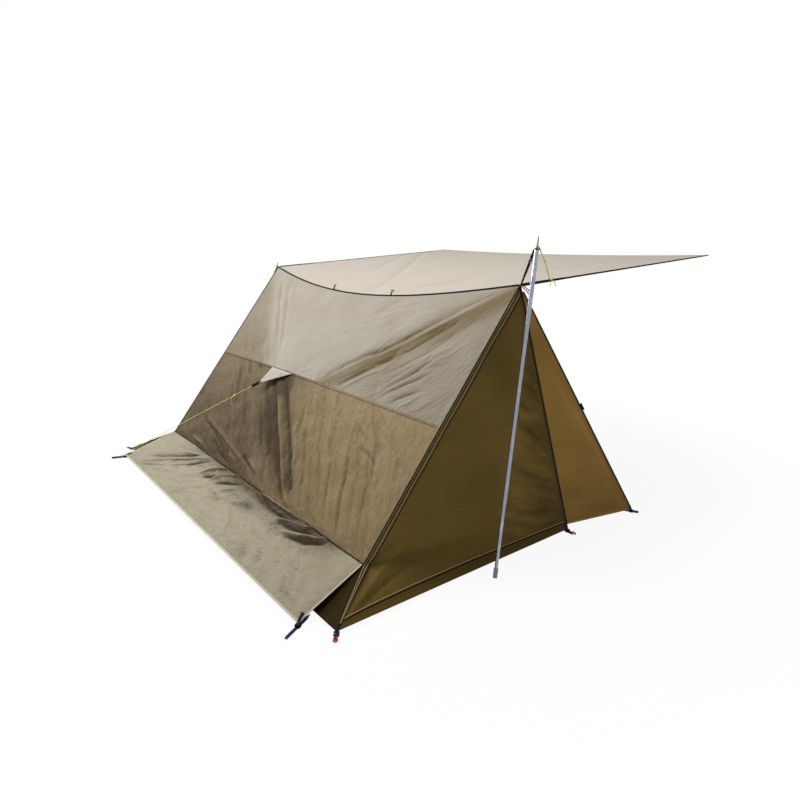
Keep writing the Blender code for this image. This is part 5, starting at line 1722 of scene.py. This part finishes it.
# The cord of the pulls, and half its route: sideways, up, and back from the head.
PULL_RADIUS = 0.0031
HALF_PULL = ((0.0028, 0.007, 0.010), (0.0062, 0.007, 0.006), (0.0075, 0.0065, -0.004),
             (0.0070, 0.006, -0.012))
PULL = (*HALF_PULL, (0, 0.0055, -0.017), *((-x, y, z) for x, y, z in reversed(HALF_PULL)))
for corner_name, (corner, outward, seam_way, body) in CORNERS.items():
    for side, name in SIDES:
        out = mirrored(outward, side)
        if corner_name == "flap" and side < 0:
            out = peg_out
        place = mirrored(corner, side)
        across = unit(np.cross(UP, out))
        ring = np.array([vec(place[0], place[1], 0) + across * x + UP * z for x, z in outline])
        loop = webbing(f"{corner_name}_loop_{name}", ring, out, 0.016, tape_dark, 0.0015, vec(0, 0, 1))
        way = mirrored(seam_way, side)
        start = vec(place[0], place[1] - (0.012 if corner_name == "front" else 0), 0.0172)
        lift = out * 0.0035 + (UP * 0.004 if corner_name == "flap" else 0)
        tail_points = [start, start + way * 0.014 + lift * 0.6, start + way * 0.028 + lift,
                       start + way * 0.055 + lift]
        tail_piece = webbing(f"{corner_name}_loop_tail_{name}", smooth_route(tail_points, 14), across, 0.014,
                             tape_dark, 0.0012, out + UP * 0.3)
        rides = "shelter" if body == "shelter" else f"wing_{name}"
        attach(tail_piece, rides)
        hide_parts(f"loop_{corner_name}_{name}")
        declare(loop, rides)
        if corner_name in ("rear", "front"):
            head = vec(place[0], place[1], PEG_MIDDLE) + out * PEG_SHOWN
            turn = unit(np.cross(UP, -out))
            pull_route = smooth_route([head + turn * x + UP * y - out * z for x, y, z in PULL], 40)
            cord = swept(f"{corner_name}_pull_{name}", pull_route, cord_red, PULL_RADIUS, 8)
            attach(cord, "shelter")
            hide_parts(f"pull_{corner_name}_{name}")
print("corners:", list(CORNERS))

# %% [markdown]
# ## Straps at the peaks
#
# A strap of webbing is sewn to the top of each side wall and holds the grommet that the
# pole's spike passes through. A ladder buckle on it takes up its slack. Beside it hangs a
# loop of red cord, which the wing's top is tied to.

# %% Peak straps and buckles
# Up to this share the strap is sewn to the wall, and from there it runs to the grommet.
SEWN_SHARE = 1 / 3
# The strap ends this far from the grommet's middle.
GROMMET_REACH = 0.01535
# The strap's point that the buckle sits at, and the one that gives its turn.
BUCKLE_AT, BUCKLE_TURN = 22, 19
# Half sizes of the buckle across and along the strap.
BUCKLE_WIDE, BUCKLE_LONG = 0.009, 0.006
# The red loop: outwards, forward and up from the peak.
PEAK_LOOP = ((0.008, -0.004, 0.010), (0.022, 0.002, 0.004), (0.036, 0.014, -0.010), (0.042, 0.022, -0.026),
             (0.046, 0.016, -0.032), (0.043, 0.004, -0.022), (0.030, -0.006, -0.006), (0.012, -0.008, 0.004))
PEAK_LOOP_RADIUS = 0.0026
# It hangs lower on the left, where the grommet is close and tilts with its pole.
LEFT_DROP = 0.008
for side, name in SIDES:
    place = side_wall(side)

    def on_wall(u, v):
        return place(np.array(u), np.array((v * PEAK_HEIGHT - REAR_PEG[2]) / (SIDE_TOP - REAR_PEG[2])))

    lift = mirrored(side_out, side) * 0.0035
    low, high = on_wall(0.5, 0.968) + lift, on_wall(0.5, 0.990) + lift
    top = vec(*(RIGHT_PIVOT if side > 0 else LEFT_PIVOT))
    axis = unit(top - vec(side * POLE_FOOT[0], POLE_FOOT[1], 0))
    off = high - top
    off = unit(off - axis * (off @ axis))
    end = top + off * GROMMET_REACH
    sewn = unit(on_wall(1.0, 0.9) - on_wall(0.0, 0.9))
    hung = np.cross(off, axis) * side
    share = np.linspace(0, 1, 28)
    hung_share = (share - SEWN_SHARE) / (1 - SEWN_SHARE)
    centres = np.array([low + (high - low) * s / SEWN_SHARE if s < SEWN_SHARE else high + (end - high) * h
                        for s, h in zip(share, hung_share)])
    across = unit(sewn + (hung - sewn) * smooth(hung_share)[:, None])
    width = np.interp(share, [0, 0.35, 0.6, 1], [0.008, 0.009, 0.014, 0.016])
    strap = webbing(f"peak_strap_tape_{name}", centres, across, width, tape_dark, 0.0015,
                    mirrored(side_out, side))
    # Ladder buckle: a rounded frame with one bar, moulded.
    spot, way = centres[BUCKLE_AT], unit(centres[BUCKLE_AT + 1] - centres[BUCKLE_AT - 1])
    wide = across[BUCKLE_TURN]
    frame_line = [spot + wide * x * BUCKLE_WIDE + way * y * BUCKLE_LONG
                  for x, y in ((1, -1), (1, 1), (-1, 1), (-1, -1), (1, -1))]
    face_out = unit(np.cross(wide, way))
    buckle = swept(f"peak_strap_buckle_{name}", smooth_route(frame_line, 40), buckle_plastic, 0.0018, 8)
    bar_line = np.array([spot - wide * BUCKLE_WIDE, spot, spot + wide * BUCKLE_WIDE])
    bar = swept(f"peak_strap_bar_{name}", bar_line + face_out * 0.0026 * side, buckle_plastic, 0.0016, 8)
    for piece in (buckle, bar):
        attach(piece, "shelter")
    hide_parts(f"peak_strap_{name}")
    declare(strap, "shelter")
    tied = mirrored(front_edge(PEAK_HEIGHT * 0.992), side) - UP * (LEFT_DROP if side < 0 else 0)
    loop_route = smooth_route([tied + vec(side * x, y, z) for x, y, z in PEAK_LOOP], 60)
    loop = swept(f"peak_loop_{name}", loop_route, cord_red, PEAK_LOOP_RADIUS, 8)
    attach(loop, "shelter")
print("straps done")

# %% [markdown]
# ## Seam stitches
#
# Two rows run along the wall's seam and along each corner seam, and one by each hem and
# binding.

# %% Stitch rows
shelter_rows = [
    row_on(wall_seam, wall_heights, WALL_OUT, "v", 0.16, 0.0021, 600, 0.01, 0.99),
    row_on(wall_seam, wall_heights, WALL_OUT, "v", 0.84, 0.0021, 600, 0.01, 0.99),
    row_on(flap, flap_heights, FLAP_FACE, "v", 0.028, 0.0017, 500, 0.01, 0.99),
    row_on(flap, flap_heights, FLAP_FACE, "v", 0.972, 0.0010, 500, 0.01, 0.99),
    row_on(flap, flap_heights, FLAP_FACE, "u", 0.9958, 0.0017, 80, 0.05, 0.95),
]
for side, _ in SIDES:
    place, outward = side_wall(side), mirrored(side_out, side)
    for at in (0.006, 0.0195):
        shelter_rows.append(row_on(place, side_heights, outward, "u", at, 0.0019, 240, 0.02, 0.96))
    shelter_rows.append(row_on(*ground_strip(place, side_heights), outward, "v", 0.5, 0.0019, 240,
                               0.01, 0.99))
    shelter_rows.append(row_on(place, side_heights, outward, "u", 0.992, 0.0010, 240, 0.03, 0.90))
stitches("shelter_stitches", shelter_rows, "shelter", tape_thread)
for side, name in SIDES:
    place, outward = wing(side), mirrored(WING_FACE, side)
    rows = [row_on(place, wing_heights, outward, "v", 0.010, 0.0019, 80, 0.03, 0.96),
            row_on(place, wing_heights, outward, "u", 0.975, 0.0010, 240, 0.02, 0.9)]
    stitches(f"wing_stitches_{name}", rows, f"wing_{name}", tape_thread)
stitches("awning_stitches", [row_on(awning, awning_heights, UP, "v", 0.993, 0.0017, 400, 0.01, 0.99)],
         "awning", tape_thread)

# %% [markdown]
# ## Hard parts
#
# Poles, spikes, grommets, feet, pegs and toggles keep the meshes of their CAD solids,
# which are exact, and take the finishes made above.

# %% Finishes for the CAD parts
FINISHES = {
    "tube": tube_metal,
    "spike": spike_metal,
    "foot": rubber_foot,
    "grommet": toggle_plastic,
    "toggle": toggle_plastic,
    "peg": peg_metal,
}
dressed, plain = [], []
for name, node in nodes.items():
    finish = next((FINISHES[word] for word in FINISHES if word in name.split("_")), None)
    if node.hide_render:
        continue
    if finish:
        node.data.materials.clear()
        node.data.materials.append(finish)
    (dressed if finish else plain).append(name)
print("CAD parts dressed:", len(dressed), "still as they came:", plain)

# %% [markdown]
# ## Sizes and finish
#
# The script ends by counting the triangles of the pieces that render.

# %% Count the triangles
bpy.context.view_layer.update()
triangles = sum(len(p.vertices) - 2 for o in bpy.data.objects if o.type == "MESH" and not o.hide_render
                for p in o.data.polygons)
print("triangles:", triangles)
